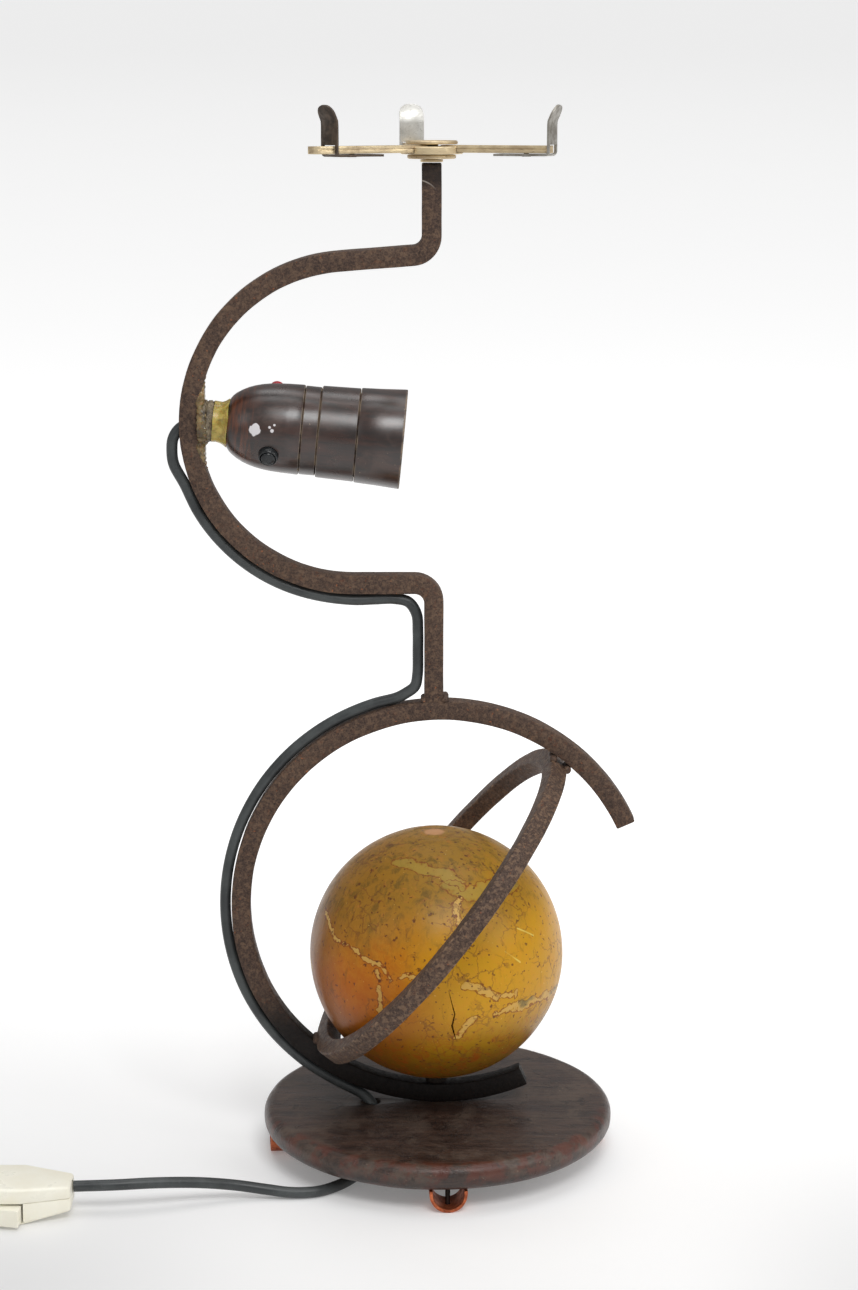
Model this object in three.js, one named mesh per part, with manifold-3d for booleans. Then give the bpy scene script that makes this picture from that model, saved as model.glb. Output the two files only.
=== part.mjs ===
// Table lamp with a turned globe: a hoop of square iron bar on a round wooden foot carries a wooden
// ball, a tilted iron ring, a bent stem with a side-mounted push-through lampholder and, on top, an
// adjustable gallery for the shade. The lead runs along the iron to an inline switch and a plug.
// Millimetres, +Z up, the table top is z = 0. x = 0 and y = 0 is the middle of the lamp's own box.
import * as THREE from 'three';
import { mergeVertices } from 'three/addons/utils/BufferGeometryUtils.js';
import Module from 'manifold-3d';

const wasm = await Module();
wasm.setup();

// ---------- driving dimensions ----------
const GAP = 0.3;                    // clearance kept between neighbouring solids
const LAMP_X = 15.1;                // the foot's axis stands this far right of the box's middle

const DISC = { radius: 80, top: 22.4, thickness: 11.9, edge: 5 };
const FOOT = { angles: [-86.5, 6.5, 95, 185], reach: 77.5, length: 15, radius: 8.5, wall: 1.6 };
const NAIL = { shank: 1.1, head: 2.4, headHeight: 0.7, low: 0.1, inset: 7, bite: 8 };

const BAR = 8.6;                    // side of the square iron bar
const HOOP = {
  x: 2, z: 118.1, inner: 86.8, from: 24.4, to: 294.3,
  bulge: 1.4, bulgeAt: 220, bulgeSpan: 34,
};
const RING = { x: 1.1, z: 117, outer: 86.1, tilt: 51.3, bar: 8.4 };
const GLOBE = { x: -0.6, z: 94.5, radius: 57.6 };
const BOLT = { radius: 2, head: 3.6, headHeight: 3, counterbore: 5, bite: 24 };

const STEM = { foot: -1.8, top: -2.8, topZ: 451.6, bend: 8.5, lowZ: 266.9 };
const CRESCENT = { x: -37.6, z: 338.4, radius: 71.5, leave: 4.5 };

const HOLDER = { neckX: -91.7, neckZ: 338.8, droop: 5.5, length: 76.9 };
const PUSH = { along: 19, lean: 60, radius: 3.2, blackOut: 3.3, redOut: 9.7 };

// The gallery sits a little askew on the stem: its back is lower than its front.
const GALLERY = {
  angles: [-20.8, 99.2, 219.2], clips: [55, 56, 55.5], arms: [54.5, 60, 65],
  tilt: 3.5, lift: 0.3,
};
const ARM = { low: 456, width: 7.6, height: 3.2, wall: 0.8, slot: 3, start: 5.5 };
const CLIP = { width: 11, gauge: 1, height: 21.8, leg: 25, lean: 24, leanHeight: 7.5 };

const CORD = 5;                     // diameter of the two-core lead
const COIL = { x: -266, y: -8, inner: 17.4, outer: 37.6, height: 10.2 };
const SWITCH = { right: -160.6, length: 72, y: -76.7, width: 28.7, height: 17, split: 10.3, wall: 1.8 };
const SWITCH_NOSE = { length: 22, width: 16, low: 4, high: 15.5, cordY: -75.5, cordZ: 12 };
const ROCKER = { half: 15, out: 4.5, in: 2, low: 1.6, high: 9.4, tilt: 8.5, pin: 1.1 };
const PLUG = {
  x: -305, y: 30, length: 36, width: 35, neck: 12, height: 13.7,
  pinGap: 18.6, pin: 2, pinLength: 19,
};

// ---------- materials ----------
const finish = (color, roughness, metalness = 0) => () =>
  new THREE.MeshStandardMaterial({ color, roughness, metalness });
const iron = finish(0x4b3c35, 0.6, 0.6);
const steel = finish(0x8d8a82, 0.45, 0.8);
const brass = finish(0xbd9a5c, 0.4, 0.9);
const copper = finish(0xa4532c, 0.45, 0.9);
const stainedWood = finish(0x3a2622, 0.45);
const paintedWood = finish(0xa97a26, 0.4);
const bakelite = finish(0x3b1d18, 0.25);
const blackBakelite = finish(0x17181a, 0.3);
const redPlastic = finish(0xb3202c, 0.35);
const resin = finish(0xb39a4a, 0.3);
const putty = finish(0x7a6c5a, 0.6);
const ceramic = finish(0xe4dfd2, 0.4);
const cable = finish(0x3c4040, 0.55);
const cream = finish(0xeee8cf, 0.4);

// ---------- shape helpers ----------
const rad = THREE.MathUtils.degToRad;
const v2 = (x, y) => new THREE.Vector2(x, y);
const v3 = (x, y, z) => new THREE.Vector3(x, y, z);

// A profile of [radius, height] pairs turned about the z axis.
function turned(profile, segments = 32) {
  const geometry = new THREE.LatheGeometry(profile.map(([r, z]) => v2(r, z)), segments);
  return geometry.rotateX(Math.PI / 2);
}

// A plain round rod standing on z = low.
function rod(radius, low, high, segments = 20) {
  return turned([[0, low], [radius, low], [radius, high], [0, high]], segments);
}

// A washer or bush: a closed ring of rectangular section.
function bush(inner, outer, low, high, segments = 28) {
  return turned([[inner, low], [outer, low], [outer, high], [inner, high], [inner, low]], segments);
}

// A flat outline of [x, y] pairs raised from z = low to z = high.
function plate(outline, low, high) {
  const shape = new THREE.Shape(outline.map(([x, y]) => v2(x, y)));
  const geometry = new THREE.ExtrudeGeometry(shape, { depth: high - low, bevelEnabled: false });
  return geometry.translate(0, 0, low);
}

// An outline of [x, z] pairs, made into a slab between two y planes.
function slab(outline, front, back) {
  return plate(outline, 0, back - front).rotateX(Math.PI / 2).translate(0, back, 0);
}

function block(x0, x1, y0, y1, z0, z1) {
  const geometry = new THREE.BoxGeometry(x1 - x0, y1 - y0, z1 - z0);
  return geometry.translate((x0 + x1) / 2, (y0 + y1) / 2, (z0 + z1) / 2);
}

// A section carried along a curve.
function swept(section, curve, steps) {
  return new THREE.ExtrudeGeometry(new THREE.Shape(section), { steps, extrudePath: curve });
}

const square = (side) => {
  const corners = [v2(-1, -1), v2(1, -1), v2(1, 1), v2(-1, 1)];
  return corners.map((p) => p.multiplyScalar(side / 2));
};

function round(diameter, sides = 10) {
  const corner = (i) => v2(Math.cos(2 * Math.PI * i / sides), Math.sin(2 * Math.PI * i / sides));
  return Array.from({ length: sides }, (_, i) => corner(i).multiplyScalar(diameter / 2));
}

// ---------- solid joins and cuts ----------
function solid(geometry) {
  const bare = geometry.clone();
  bare.deleteAttribute('normal');
  bare.deleteAttribute('uv');
  const merged = mergeVertices(bare, 1e-4);
  const mesh = new wasm.Mesh({
    numProp: 3,
    vertProperties: new Float32Array(merged.attributes.position.array),
    triVerts: new Uint32Array(merged.index.array),
  });
  return new wasm.Manifold(mesh);
}

function geometryOf(manifold) {
  const mesh = manifold.getMesh();
  const geometry = new THREE.BufferGeometry();
  geometry.setAttribute('position', new THREE.BufferAttribute(mesh.vertProperties, 3));
  geometry.setIndex(new THREE.BufferAttribute(mesh.triVerts, 1));
  return geometry;
}

function cut(geometry, ...tools) {
  return geometryOf(tools.reduce((body, tool) => body.subtract(solid(tool)), solid(geometry)));
}

function common(a, b) {
  return geometryOf(solid(a).intersect(solid(b)));
}

function part(group, name, geometry, material) {
  const mesh = new THREE.Mesh(geometry, material());
  mesh.name = name;
  group.add(mesh);
  return mesh;
}

function frameAt(parent, x, y, z, turn = 0) {
  const frame = new THREE.Group();
  frame.position.set(x, y, z);
  frame.rotation.z = rad(turn);
  parent.add(frame);
  return frame;
}

const lamp = new THREE.Group();
lamp.name = 'globe_lamp';
lamp.position.x = LAMP_X;

// ---------- hoop, bent by hand: it stands out a little at its lower left ----------
function hoopRadius(degrees) {
  const off = (degrees - HOOP.bulgeAt) / HOOP.bulgeSpan;
  return HOOP.inner + BAR / 2 + HOOP.bulge * Math.exp(-off * off);
}

function hoopPoint(degrees, outside = 0) {
  const r = hoopRadius(degrees) + outside;
  return v3(HOOP.x + r * Math.cos(rad(degrees)), 0, HOOP.z + r * Math.sin(rad(degrees)));
}

class HoopCurve extends THREE.Curve {
  getPoint(t) {
    return hoopPoint(HOOP.from + (HOOP.to - HOOP.from) * t);
  }
}

const boltHole = rod(BOLT.radius + GAP, 0, 60, 16).translate(GLOBE.x, 0, 0);
part(lamp, 'hoop', cut(swept(square(BAR), new HoopCurve(), 72), boltHole), iron);

// ---------- tilted ring welded inside the hoop ----------
const ringFrame = new THREE.Group();
ringFrame.position.set(RING.x, 0, RING.z);
ringFrame.rotation.y = -rad(RING.tilt);
lamp.add(ringFrame);
const ringSection = bush(RING.outer - RING.bar, RING.outer, -RING.bar / 2, RING.bar / 2, 80);
part(ringFrame, 'tilted_ring', ringSection, iron);

// ---------- stem: up from the hoop, out into the crescent and back to the top ----------
class StemCurve extends THREE.CurvePath {
  constructor() {
    super();
    const low = HOOP.z + HOOP.inner + BAR + GAP;
    const c = CRESCENT;
    const rise = rad(c.leave);
    const leaveX = c.x - c.radius * Math.sin(rise);
    const leaveZ = c.z + c.radius * Math.cos(rise);
    // The upper bend turns from the slope of the straight to vertical.
    const bend = STEM.bend;
    const bendX = STEM.top - bend;
    const touchX = bendX + bend * Math.sin(rise);
    const touchZ = leaveZ + (touchX - leaveX) * Math.tan(rise);
    const bendZ = touchZ + bend * Math.cos(rise);
    this.line(STEM.foot, low, STEM.foot, STEM.lowZ - bend);
    this.arc(STEM.foot - bend, STEM.lowZ - bend, bend, 0, 90);
    this.line(STEM.foot - bend, STEM.lowZ, c.x, STEM.lowZ);
    this.arc(c.x, c.z, c.radius, 270, 90 + c.leave);
    this.line(leaveX, leaveZ, touchX, touchZ);
    this.arc(bendX, bendZ, bend, 270 + c.leave, 360);
    this.line(STEM.top, bendZ, STEM.top, STEM.topZ);
  }

  line(x0, z0, x1, z1) {
    this.add(new THREE.LineCurve3(v3(x0, 0, z0), v3(x1, 0, z1)));
  }

  arc(x, z, radius, from, to) {
    this.add(new ArcCurve(x, z, radius, from, to));
  }
}

class ArcCurve extends THREE.Curve {
  constructor(x, z, radius, from, to) {
    super();
    Object.assign(this, { x, z, radius, from, to });
  }

  getPoint(t) {
    const a = rad(this.from + (this.to - this.from) * t);
    return v3(this.x + this.radius * Math.cos(a), 0, this.z + this.radius * Math.sin(a));
  }
}

// The lead's route along the iron, from inside the lampholder to below the foot.
const cordOut = CORD / 2 + BAR / 2 + GAP;
const crescentPoint = (degrees, outside) => {
  const r = CRESCENT.radius + cordOut + outside;
  return v3(CRESCENT.x + r * Math.cos(rad(degrees)), 0, CRESCENT.z + r * Math.sin(rad(degrees)));
};
const cordLow = STEM.lowZ - cordOut;
const cordLeft = STEM.foot - cordOut;
const holderPoint = (along) => v3(
  HOLDER.neckX + along * Math.cos(rad(HOLDER.droop)), 0, HOLDER.neckZ - along * Math.sin(rad(HOLDER.droop)),
);
const cordAngles = [102, 108, 116, 125, 135, 146, 158, 170, 182, 194, 206, 218, 230, 240];
const cordRoute = [
  holderPoint(5), holderPoint(-4), holderPoint(-11), v3(-108.4, 0, 338.9), v3(-113.4, 0, 336.3),
  v3(-116.2, 0, 332.2), v3(-116.9, 0, 327), v3(-116.2, 0, 320.5),
  ...[200, 210, 220, 230, 240, 250, 260].map((a) => crescentPoint(a, 0.1)),
  v3(-37, 0, cordLow - 0.5), v3(-28, 0, cordLow - 0.2), v3(-19.5, 0, cordLow),
  v3(-13, 0, cordLow - 1.6), v3(cordLeft - 0.6, 0, cordLow - 7), v3(cordLeft, 0, cordLow - 15),
  v3(cordLeft, 0, 236), v3(cordLeft - 0.2, 0, 225), v3(cordLeft - 1.4, 0, 219.6),
  v3(cordLeft - 5.4, 0, 216.4),
  ...cordAngles.map((a) => hoopPoint(a, cordOut + 0.1)),
  v3(-38, -0.3, 27.1), v3(-33.8, -1.2, 24.8), v3(-30.4, -3.4, 21.6), v3(-28.8, -6.6, 17.4),
  v3(-28.3, -10.2, 13.8), v3(-28.4, -13.3, 11),
];

const CordCurve = (points) => new THREE.CatmullRomCurve3(points, false, 'centripetal');
const cordHole = (from, to, steps) => {
  const route = CordCurve(cordRoute.slice(from, to));
  return swept(round(CORD + 1.2, 12), route, steps);
};
const bodyOfStem = swept(square(BAR), new StemCurve(), 84);
part(lamp, 'stem', cut(bodyOfStem, cordHole(1, 6, 8)), iron);
part(lamp, 'frame_cable', swept(round(CORD, 8), CordCurve(cordRoute), 96), cable);

// ---------- wooden foot ----------
function quarter(cx, cy, r, from, to, count) {
  const at = (i) => rad(from + (to - from) * i / count);
  return Array.from({ length: count + 1 }, (_, i) => [cx + r * Math.cos(at(i)), cy + r * Math.sin(at(i))]);
}

const discLow = DISC.top - DISC.thickness;
const discProfile = [
  [0, discLow],
  ...quarter(DISC.radius - DISC.edge, discLow + DISC.edge, DISC.edge, 270, 360, 3),
  ...quarter(DISC.radius - DISC.edge, DISC.top - DISC.edge, DISC.edge, 0, 90, 3),
  [0, DISC.top],
];
const counterbore = rod(BOLT.counterbore, 0, discLow + BOLT.headHeight + 2, 20).translate(GLOBE.x, 0, 0);
const cordEnd = CordCurve([...cordRoute.slice(-7), v3(-29.1, -19.3, 6)]);
const cordExitHole = swept(round(CORD + 1.6, 12), cordEnd, 12);
const spot = (radius, degrees) => [radius * Math.cos(rad(degrees)), radius * Math.sin(rad(degrees))];
const nailRadius = FOOT.reach - NAIL.inset;
const nailTools = FOOT.angles.map((a) => {
  const [x, y] = spot(nailRadius, a);
  return rod(NAIL.shank + GAP, discLow - 1, discLow + NAIL.bite + GAP, 8).translate(x, y, 0);
});
const discTools = [boltHole, counterbore, cordExitHole, ...nailTools];
part(lamp, 'base_disc', cut(turned(discProfile, 60), ...discTools), stainedWood);

// ---------- feet: half-round troughs of copper strip, each nailed up into the wood ----------
// The nail's head is let into the trough's floor from below, so that it clears z = 0.
// An odd number of sides gives the trough a narrow flat sole, which stands on z = 0.
function troughSection(radius, top, sides = 15) {
  const sole = radius * Math.cos(Math.PI / 2 / sides);
  const bowl = quarter(0, sole, radius, 180, 360, sides);
  return [[-radius, top], ...bowl, [radius, top]];
}

const footTop = discLow - GAP;
const footOutside = plate(troughSection(FOOT.radius, footTop), 0, FOOT.length);
const footInside = plate(troughSection(FOOT.radius - FOOT.wall, footTop + 3), -2, FOOT.length + 2);
footInside.translate(0, FOOT.wall, 0);
const headPocket = rod(NAIL.head + GAP, -1, NAIL.low + NAIL.headHeight + GAP, 16);
const shankHole = rod(NAIL.shank + GAP, -1, FOOT.wall + 2, 12);
const nailTool = [headPocket, shankHole].map((hole) => hole.translate(FOOT.length - NAIL.inset, 0, 0));
const bareTrough = cut(footOutside, footInside).rotateX(Math.PI / 2).rotateZ(Math.PI / 2);
const trough = cut(bareTrough, ...nailTool);
const nailLength = discLow + NAIL.bite - NAIL.low;
const nailProfile = [
  [0, 0], [NAIL.head, 0], [NAIL.head, NAIL.headHeight], [NAIL.shank, NAIL.headHeight],
  [NAIL.shank, nailLength], [0, nailLength],
];
FOOT.angles.forEach((angle, i) => {
  const frame = frameAt(lamp, 0, 0, 0, angle);
  const shell = trough.clone().translate(FOOT.reach - FOOT.length, 0, 0);
  part(frame, `foot_${i + 1}`, shell, copper);
  const nail = turned(nailProfile, 10).translate(nailRadius, 0, NAIL.low);
  part(frame, `foot_nail_${i + 1}`, nail, steel);
});

// ---------- bolt through foot, hoop and spacer into the globe ----------
const boltTop = GLOBE.z - GLOBE.radius + BOLT.bite;
const boltLow = discLow + 2 - GAP;
const boltProfile = [
  [0, boltLow], [BOLT.head, boltLow], [BOLT.head, boltLow + BOLT.headHeight],
  [BOLT.radius, boltLow + BOLT.headHeight], [BOLT.radius, boltTop], [0, boltTop],
];
part(lamp, 'centre_bolt', turned(boltProfile, 16).translate(GLOBE.x, 0, 0), steel);
const hoopFloor = HOOP.z - HOOP.inner;
const globeFloor = GLOBE.z - GLOBE.radius;
const spacer = bush(BOLT.radius + GAP, 5, hoopFloor + 0.5, globeFloor - GAP, 20);
part(lamp, 'globe_spacer', spacer.translate(GLOBE.x, 0, 0), brass);
const ball = new THREE.SphereGeometry(GLOBE.radius, 32, 20).rotateX(Math.PI / 2);
const globeHole = rod(BOLT.radius + GAP, -GLOBE.radius - 5, BOLT.bite + 2 - GLOBE.radius, 16);
part(lamp, 'globe', cut(ball, globeHole).translate(GLOBE.x, 0, GLOBE.z), paintedWood);

// ---------- lampholder, built along its own axis and then laid over ----------
const holder = new THREE.Group();
holder.position.set(HOLDER.neckX, 0, HOLDER.neckZ);
holder.rotation.y = rad(90 + HOLDER.droop);
lamp.add(holder);

part(holder, 'neck_bush', bush(3.6, 9.3, -11.5, -7, 28), putty);
const collar = [[5.1, -6.7], [9.4, -6.7], [9.2, -4], [9.9, -1.6], [10.8, -GAP], [5.1, -GAP], [5.1, -6.7]];
part(holder, 'resin_collar', turned(collar, 28), resin);
part(holder, 'nipple', bush(3, 4.8, -6.7, 7, 20), brass);

const capOutside = [
  [5.1, 0], [10.9, 0], [13.4, 2.4], [15.5, 5.5], [17.4, 9.8],
  [18.5, 14], [19.2, 19], [19.6, 25], [19.8, 32.2],
];
const capInside = [[17.3, 32.2], [17.3, 14], [14.6, 8], [11, 4.2], [5.1, 3], [5.1, 0]];
// The push rod's line crosses the holder's axis; its front end is black, its higher back end red.
const pushLine = (geometry) => {
  const leaning = geometry.rotateX(rad(90)).rotateZ(rad(90 - PUSH.lean));
  return leaning.translate(0, 0, PUSH.along);
};
const pushHole = pushLine(rod(PUSH.radius + GAP, -30, 30, 16));
const bushHole = pushLine(rod(4.2 + GAP, 17, 30, 20));
part(holder, 'holder_cap', cut(turned([...capOutside, ...capInside], 32), pushHole, bushHole), bakelite);

const mantle = [
  [15.6, 24], [16.8, 24], [16.8, 32.5], [19.4, 32.5], [19.4, 39.4],
  [18.4, 39.4], [18.4, 74], [15.6, 74], [15.6, 24],
];
part(holder, 'holder_mantle', turned(mantle, 32), bakelite);
const rearRing = [[18.7, 39.7], [20, 39.7], [20.4, 56.4], [18.7, 56.4], [18.7, 39.7]];
part(holder, 'shade_ring_rear', turned(rearRing, 32), bakelite);
const frontRing = [
  [18.7, 56.7], [20.8, 56.7], [21.8, HOLDER.length], [20.4, HOLDER.length],
  [19.6, 74.3], [18.7, 73], [18.7, 56.7],
];
part(holder, 'shade_ring_front', turned(frontRing, 32), bakelite);

const insert = [[0, 26], [15.2, 26], [15.2, 34], [4.5, 34], [4.5, 33], [0, 33]];
part(holder, 'ceramic_insert', turned(insert, 28), ceramic);
part(holder, 'thread_shell', bush(13.3, 14, 34.3, 60, 32), brass);
const contactProfile = [[0, 33.3], [3.6, 33.3], [3.6, 34.4], [1.8, 36.6], [0, 36.6]];
part(holder, 'centre_contact', turned(contactProfile, 16), brass);
[-1, 1].forEach((side, i) => {
  const screw = rod(2.2, 22.9, 25.7, 14).translate(0, 9.5 * side, 0);
  part(holder, `terminal_screw_${i + 1}`, screw, brass);
});

// ---------- push-through switch of the lampholder ----------
const capAtPush = 19.2;
const blackEnd = capAtPush + PUSH.blackOut;
const redEnd = capAtPush + PUSH.redOut;
const knob = (far, near) => [
  [0, near], [PUSH.radius, near], [PUSH.radius, far - 0.6], [PUSH.radius - 0.6, far], [0, far],
];
const bushBore = PUSH.radius + GAP;
const bushOutside = [
  [bushBore, 17.6], [4.2, 17.6], [4.2, 21.4], [3.9, 21.9], [bushBore, 21.9], [bushBore, 17.6],
];
part(holder, 'push_bush', pushLine(turned(bushOutside, 24)), blackBakelite);
part(holder, 'push_button_black', pushLine(turned(knob(blackEnd, 12.3), 20)), blackBakelite);
const redKnob = turned(knob(redEnd, 10.3), 20).rotateX(Math.PI);
part(holder, 'push_button_red', pushLine(redKnob), redPlastic);
part(holder, 'push_rod', pushLine(rod(1.9, -10, 12, 16)), brass);
part(holder, 'switch_bridge', pushLine(bush(1.9 + GAP, 4, -2, 2.5, 20)), brass);

// ---------- gallery: a hub on the stem's stud, three slotted arms and three sliding clips ----------
const hubSeat = frameAt(lamp, STEM.top, 0, STEM.topZ + GALLERY.lift);
hubSeat.rotation.x = -rad(GALLERY.tilt);
const hub = frameAt(hubSeat, 0, 0, -STEM.topZ);
part(hub, 'gallery_stud', rod(2.6, STEM.topZ + GAP, 457.6, 20), brass);
part(hub, 'gallery_washer', bush(2.6 + GAP, 4.9, STEM.topZ + GAP, 453, 24), brass);
part(hub, 'hub_lower_disc', bush(2.6 + GAP, 10.5, 453.3, 455, 36), brass);
const armSeats = GALLERY.angles.map((a) => {
  const seat = block(4.9, 20, -ARM.width / 2 - GAP, ARM.width / 2 + GAP, ARM.low - GAP, 462);
  return seat.rotateZ(rad(a));
});
part(hub, 'hub_plate', cut(bush(2.6 + GAP, 13.5, 455.3, 458.6, 48), ...armSeats), brass);
const capTop = ARM.low + ARM.height + 1.9;
const capLow = ARM.low + ARM.height + GAP;
const hubCap = [[0, capLow], [11, capLow], [11.3, capTop - 0.6], [10.7, capTop], [0, capTop]];
part(hub, 'hub_cap', turned(hubCap, 36), brass);

// Clip: a strip bent into a foot under the arm and an upright whose rounded top leans outwards.
function clipGeometry(reach) {
  const low = ARM.low - GAP - CLIP.gauge;
  const g = CLIP.gauge;
  const topZ = low + CLIP.height;
  const kneeZ = topZ - CLIP.leanHeight;
  const leanX = CLIP.leanHeight * Math.tan(rad(CLIP.lean));
  const inner = [
    [reach - g, low + g + 1], [reach - g - 1, low + g],
    [reach - CLIP.leg, low + g], [reach - CLIP.leg, low],
  ];
  const outer = [[reach - 1.6, low], [reach - 0.5, low + 0.5], [reach, low + 1.6], [reach, kneeZ]];
  const top = [[reach + leanX, topZ], [reach + leanX - g, topZ], [reach - g, kneeZ]];
  const strip = slab([...inner, ...outer, ...top], -CLIP.width / 2, CLIP.width / 2);
  const half = CLIP.width / 2;
  const crown = quarter(0, topZ - half, half, 0, 180, 12);
  const face = plate([[half, low - 1], ...crown, [-half, low - 1]], reach - CLIP.leg - 1, reach + 8);
  const mask = face.rotateX(Math.PI / 2).rotateZ(Math.PI / 2);
  const window = ARM.width / 2 + GAP;
  const windowLow = ARM.low - GAP + 0.05;
  const windowTop = ARM.low + ARM.height + GAP;
  const armWindow = block(reach - 4, reach + 2, -window, window, windowLow, windowTop);
  const rivetHole = rod(1.2 + GAP, low - 1, low + g + 1, 12).translate(reach - 12, 0, 0);
  return cut(common(strip, mask), armWindow, rivetHole);
}

function armGeometry(reach) {
  const { low, width, height, wall, slot, start } = ARM;
  const bar = block(start, reach, -width / 2, width / 2, low, low + height);
  const hollow = block(16, reach + 1, wall - width / 2, width / 2 - wall, low + wall, low + height - wall);
  const groove = block(18, reach - 3, -slot / 2, slot / 2, low - 1, low + height / 2);
  return cut(bar, hollow, groove);
}

GALLERY.angles.forEach((angle, i) => {
  const frame = frameAt(hub, 0, 0, 0, angle);
  const reach = GALLERY.clips[i];
  part(frame, `gallery_arm_${i + 1}`, armGeometry(GALLERY.arms[i]), brass);
  part(frame, `shade_clip_${i + 1}`, clipGeometry(reach), steel);
  const low = ARM.low - GAP - CLIP.gauge;
  const head = ARM.low + ARM.wall + GAP;
  const shank = [[0, low], [1.1, low], [1.1, head], [2.4, head], [2.4, head + 0.8], [0, head + 0.8]];
  part(frame, `clip_rivet_${i + 1}`, turned(shank, 14).translate(reach - 12, 0, 0), steel);
});

// ---------- lead lying on the table: foot to switch, switch to coil, coil to plug ----------
const leadRoute = [
  v3(-28.5, -13.9, 10.5), v3(-29.1, -19, 6.9), v3(-30.8, -26, 4.3), v3(-33.4, -34.4, 2.9),
  v3(-37.8, -43.6, 2.6),
  v3(-44.2, -52.6, 2.6), v3(-53.4, -59.6, 2.6), v3(-65, -61.8, 3), v3(-77, -61.8, 4.6), v3(-90, -62.9, 7),
  v3(-106, -67, 10), v3(-124, -71.8, 12), v3(-142, -75, 12.4),
  v3(-160.2, SWITCH_NOSE.cordY, SWITCH_NOSE.cordZ),
];
const switchLeft = SWITCH.right - SWITCH.length;
const afterSwitch = [
  v3(switchLeft - GAP, SWITCH_NOSE.cordY, SWITCH_NOSE.cordZ), v3(-245, -74.8, 9.8), v3(-257, -71.8, 5.8),
  v3(-268, -66.4, 3.2), v3(-277.5, -58.6, 2.6), v3(-285.4, -49.6, 2.6), v3(-291.6, -39.4, 2.6),
];
const plugEntryZ = PLUG.height / 2;
const toPlug = [
  v3(-304, 6.5, 7.3), v3(-304.8, 14, 6.7), v3(-305, 22, 6.7), v3(PLUG.x, PLUG.y - GAP, plugEntryZ),
];
part(lamp, 'lead_to_switch', swept(round(CORD), CordCurve(leadRoute), 24), cable);
part(lamp, 'lead_to_coil', swept(round(CORD), CordCurve(afterSwitch), 14), cable);
const coilRing = bush(COIL.inner, COIL.outer, 0.1, COIL.height, 36).translate(COIL.x, COIL.y, 0);
part(lamp, 'cord_coil', coilRing, cable);
part(lamp, 'lead_to_plug', swept(round(CORD), CordCurve(toPlug), 6), cable);

// ---------- inline switch: two shells, a rocker on the near side and its contact ----------
// The body is a plan outline with tapered noses, met by a side outline that tapers the same way.
const nose = SWITCH_NOSE;
const half = SWITCH.length / 2;
const switchFrame = frameAt(lamp, SWITCH.right - half, SWITCH.y, 0);
const wideX = half - nose.length;
const mirrored = ([x, y]) => [[x, y], [-x, y]];
const around = (centreY) => (p, q) => Math.atan2(p[1] - centreY, p[0]) - Math.atan2(q[1] - centreY, q[0]);
const plan = [
  [half, nose.width / 2], [half, -nose.width / 2], [wideX, SWITCH.width / 2], [wideX, -SWITCH.width / 2],
].flatMap(mirrored).sort(around(0));
const side = [
  [half, nose.low], [half, nose.high], [wideX, 0], [wideX, SWITCH.height],
].flatMap(mirrored).sort(around(SWITCH.height / 2));
const switchBody = common(plate(plan, -1, SWITCH.height + 1), slab(side, -SWITCH.width, SWITCH.width));

const near = -SWITCH.width / 2;
const inside = SWITCH.width / 2 - SWITCH.wall;
const cavity = block(-13, 13, -inside, inside, SWITCH.wall, SWITCH.height - SWITCH.wall);
const cordBore = rod(CORD / 2 + GAP, -half - 2, half + 2, 14).rotateY(Math.PI / 2);
cordBore.translate(0, nose.cordY - SWITCH.y, nose.cordZ);
const above = block(-half - 1, half + 1, -20, 20, SWITCH.split, 30);
const below = block(-half - 1, half + 1, -20, 20, -5, SWITCH.split - GAP);
const pocketHalf = ROCKER.half + 0.8;
const pocket = block(-pocketHalf, pocketHalf, near - 5, near + 6.5, ROCKER.low - 0.4, SWITCH.split);
const screwSpots = [[-19, 7], [19, 7]];
const screwBore = (radius, top) => ([x, y]) => rod(radius, -1, top, 14).translate(x, y, 0);
const bores = [...screwSpots.map(screwBore(1.8, 13.5)), ...screwSpots.map(screwBore(2.9, 2.6))];
const lowerShell = cut(common(switchBody, below), cavity, pocket, cordBore, ...bores);
part(switchFrame, 'switch_lower_shell', lowerShell, cream);
const upperShell = cut(common(switchBody, above), cavity, cordBore, ...bores);
part(switchFrame, 'switch_upper_shell', upperShell, cream);
const screwProfile = [[0, 1.2], [2.6, 1.2], [2.6, 2.3], [1.5, 2.3], [1.5, 13], [0, 13]];
screwSpots.forEach(([x, y], i) => {
  part(switchFrame, `switch_screw_${i + 1}`, turned(screwProfile, 12).translate(x, y, 0), steel);
});

// The rocker swings about an upright pin, its right-hand end out at rest.
const rockerFrame = frameAt(switchFrame, 0, near + 1, 0, -ROCKER.tilt);
const rockerOutline = [
  [-ROCKER.half, ROCKER.in], [-ROCKER.half, 0.6 - ROCKER.out],
  [0.6 - ROCKER.half, -ROCKER.out], [0, 0.9 - ROCKER.out],
  [ROCKER.half - 0.6, -ROCKER.out], [ROCKER.half, 0.6 - ROCKER.out], [ROCKER.half, ROCKER.in],
];
const pinHole = rod(ROCKER.pin + GAP, 0, 12, 14);
part(rockerFrame, 'switch_rocker', cut(plate(rockerOutline, ROCKER.low, ROCKER.high), pinHole), cream);
part(rockerFrame, 'rocker_pin', rod(ROCKER.pin, ROCKER.low - 0.1, SWITCH.split - GAP, 14), steel);

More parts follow.
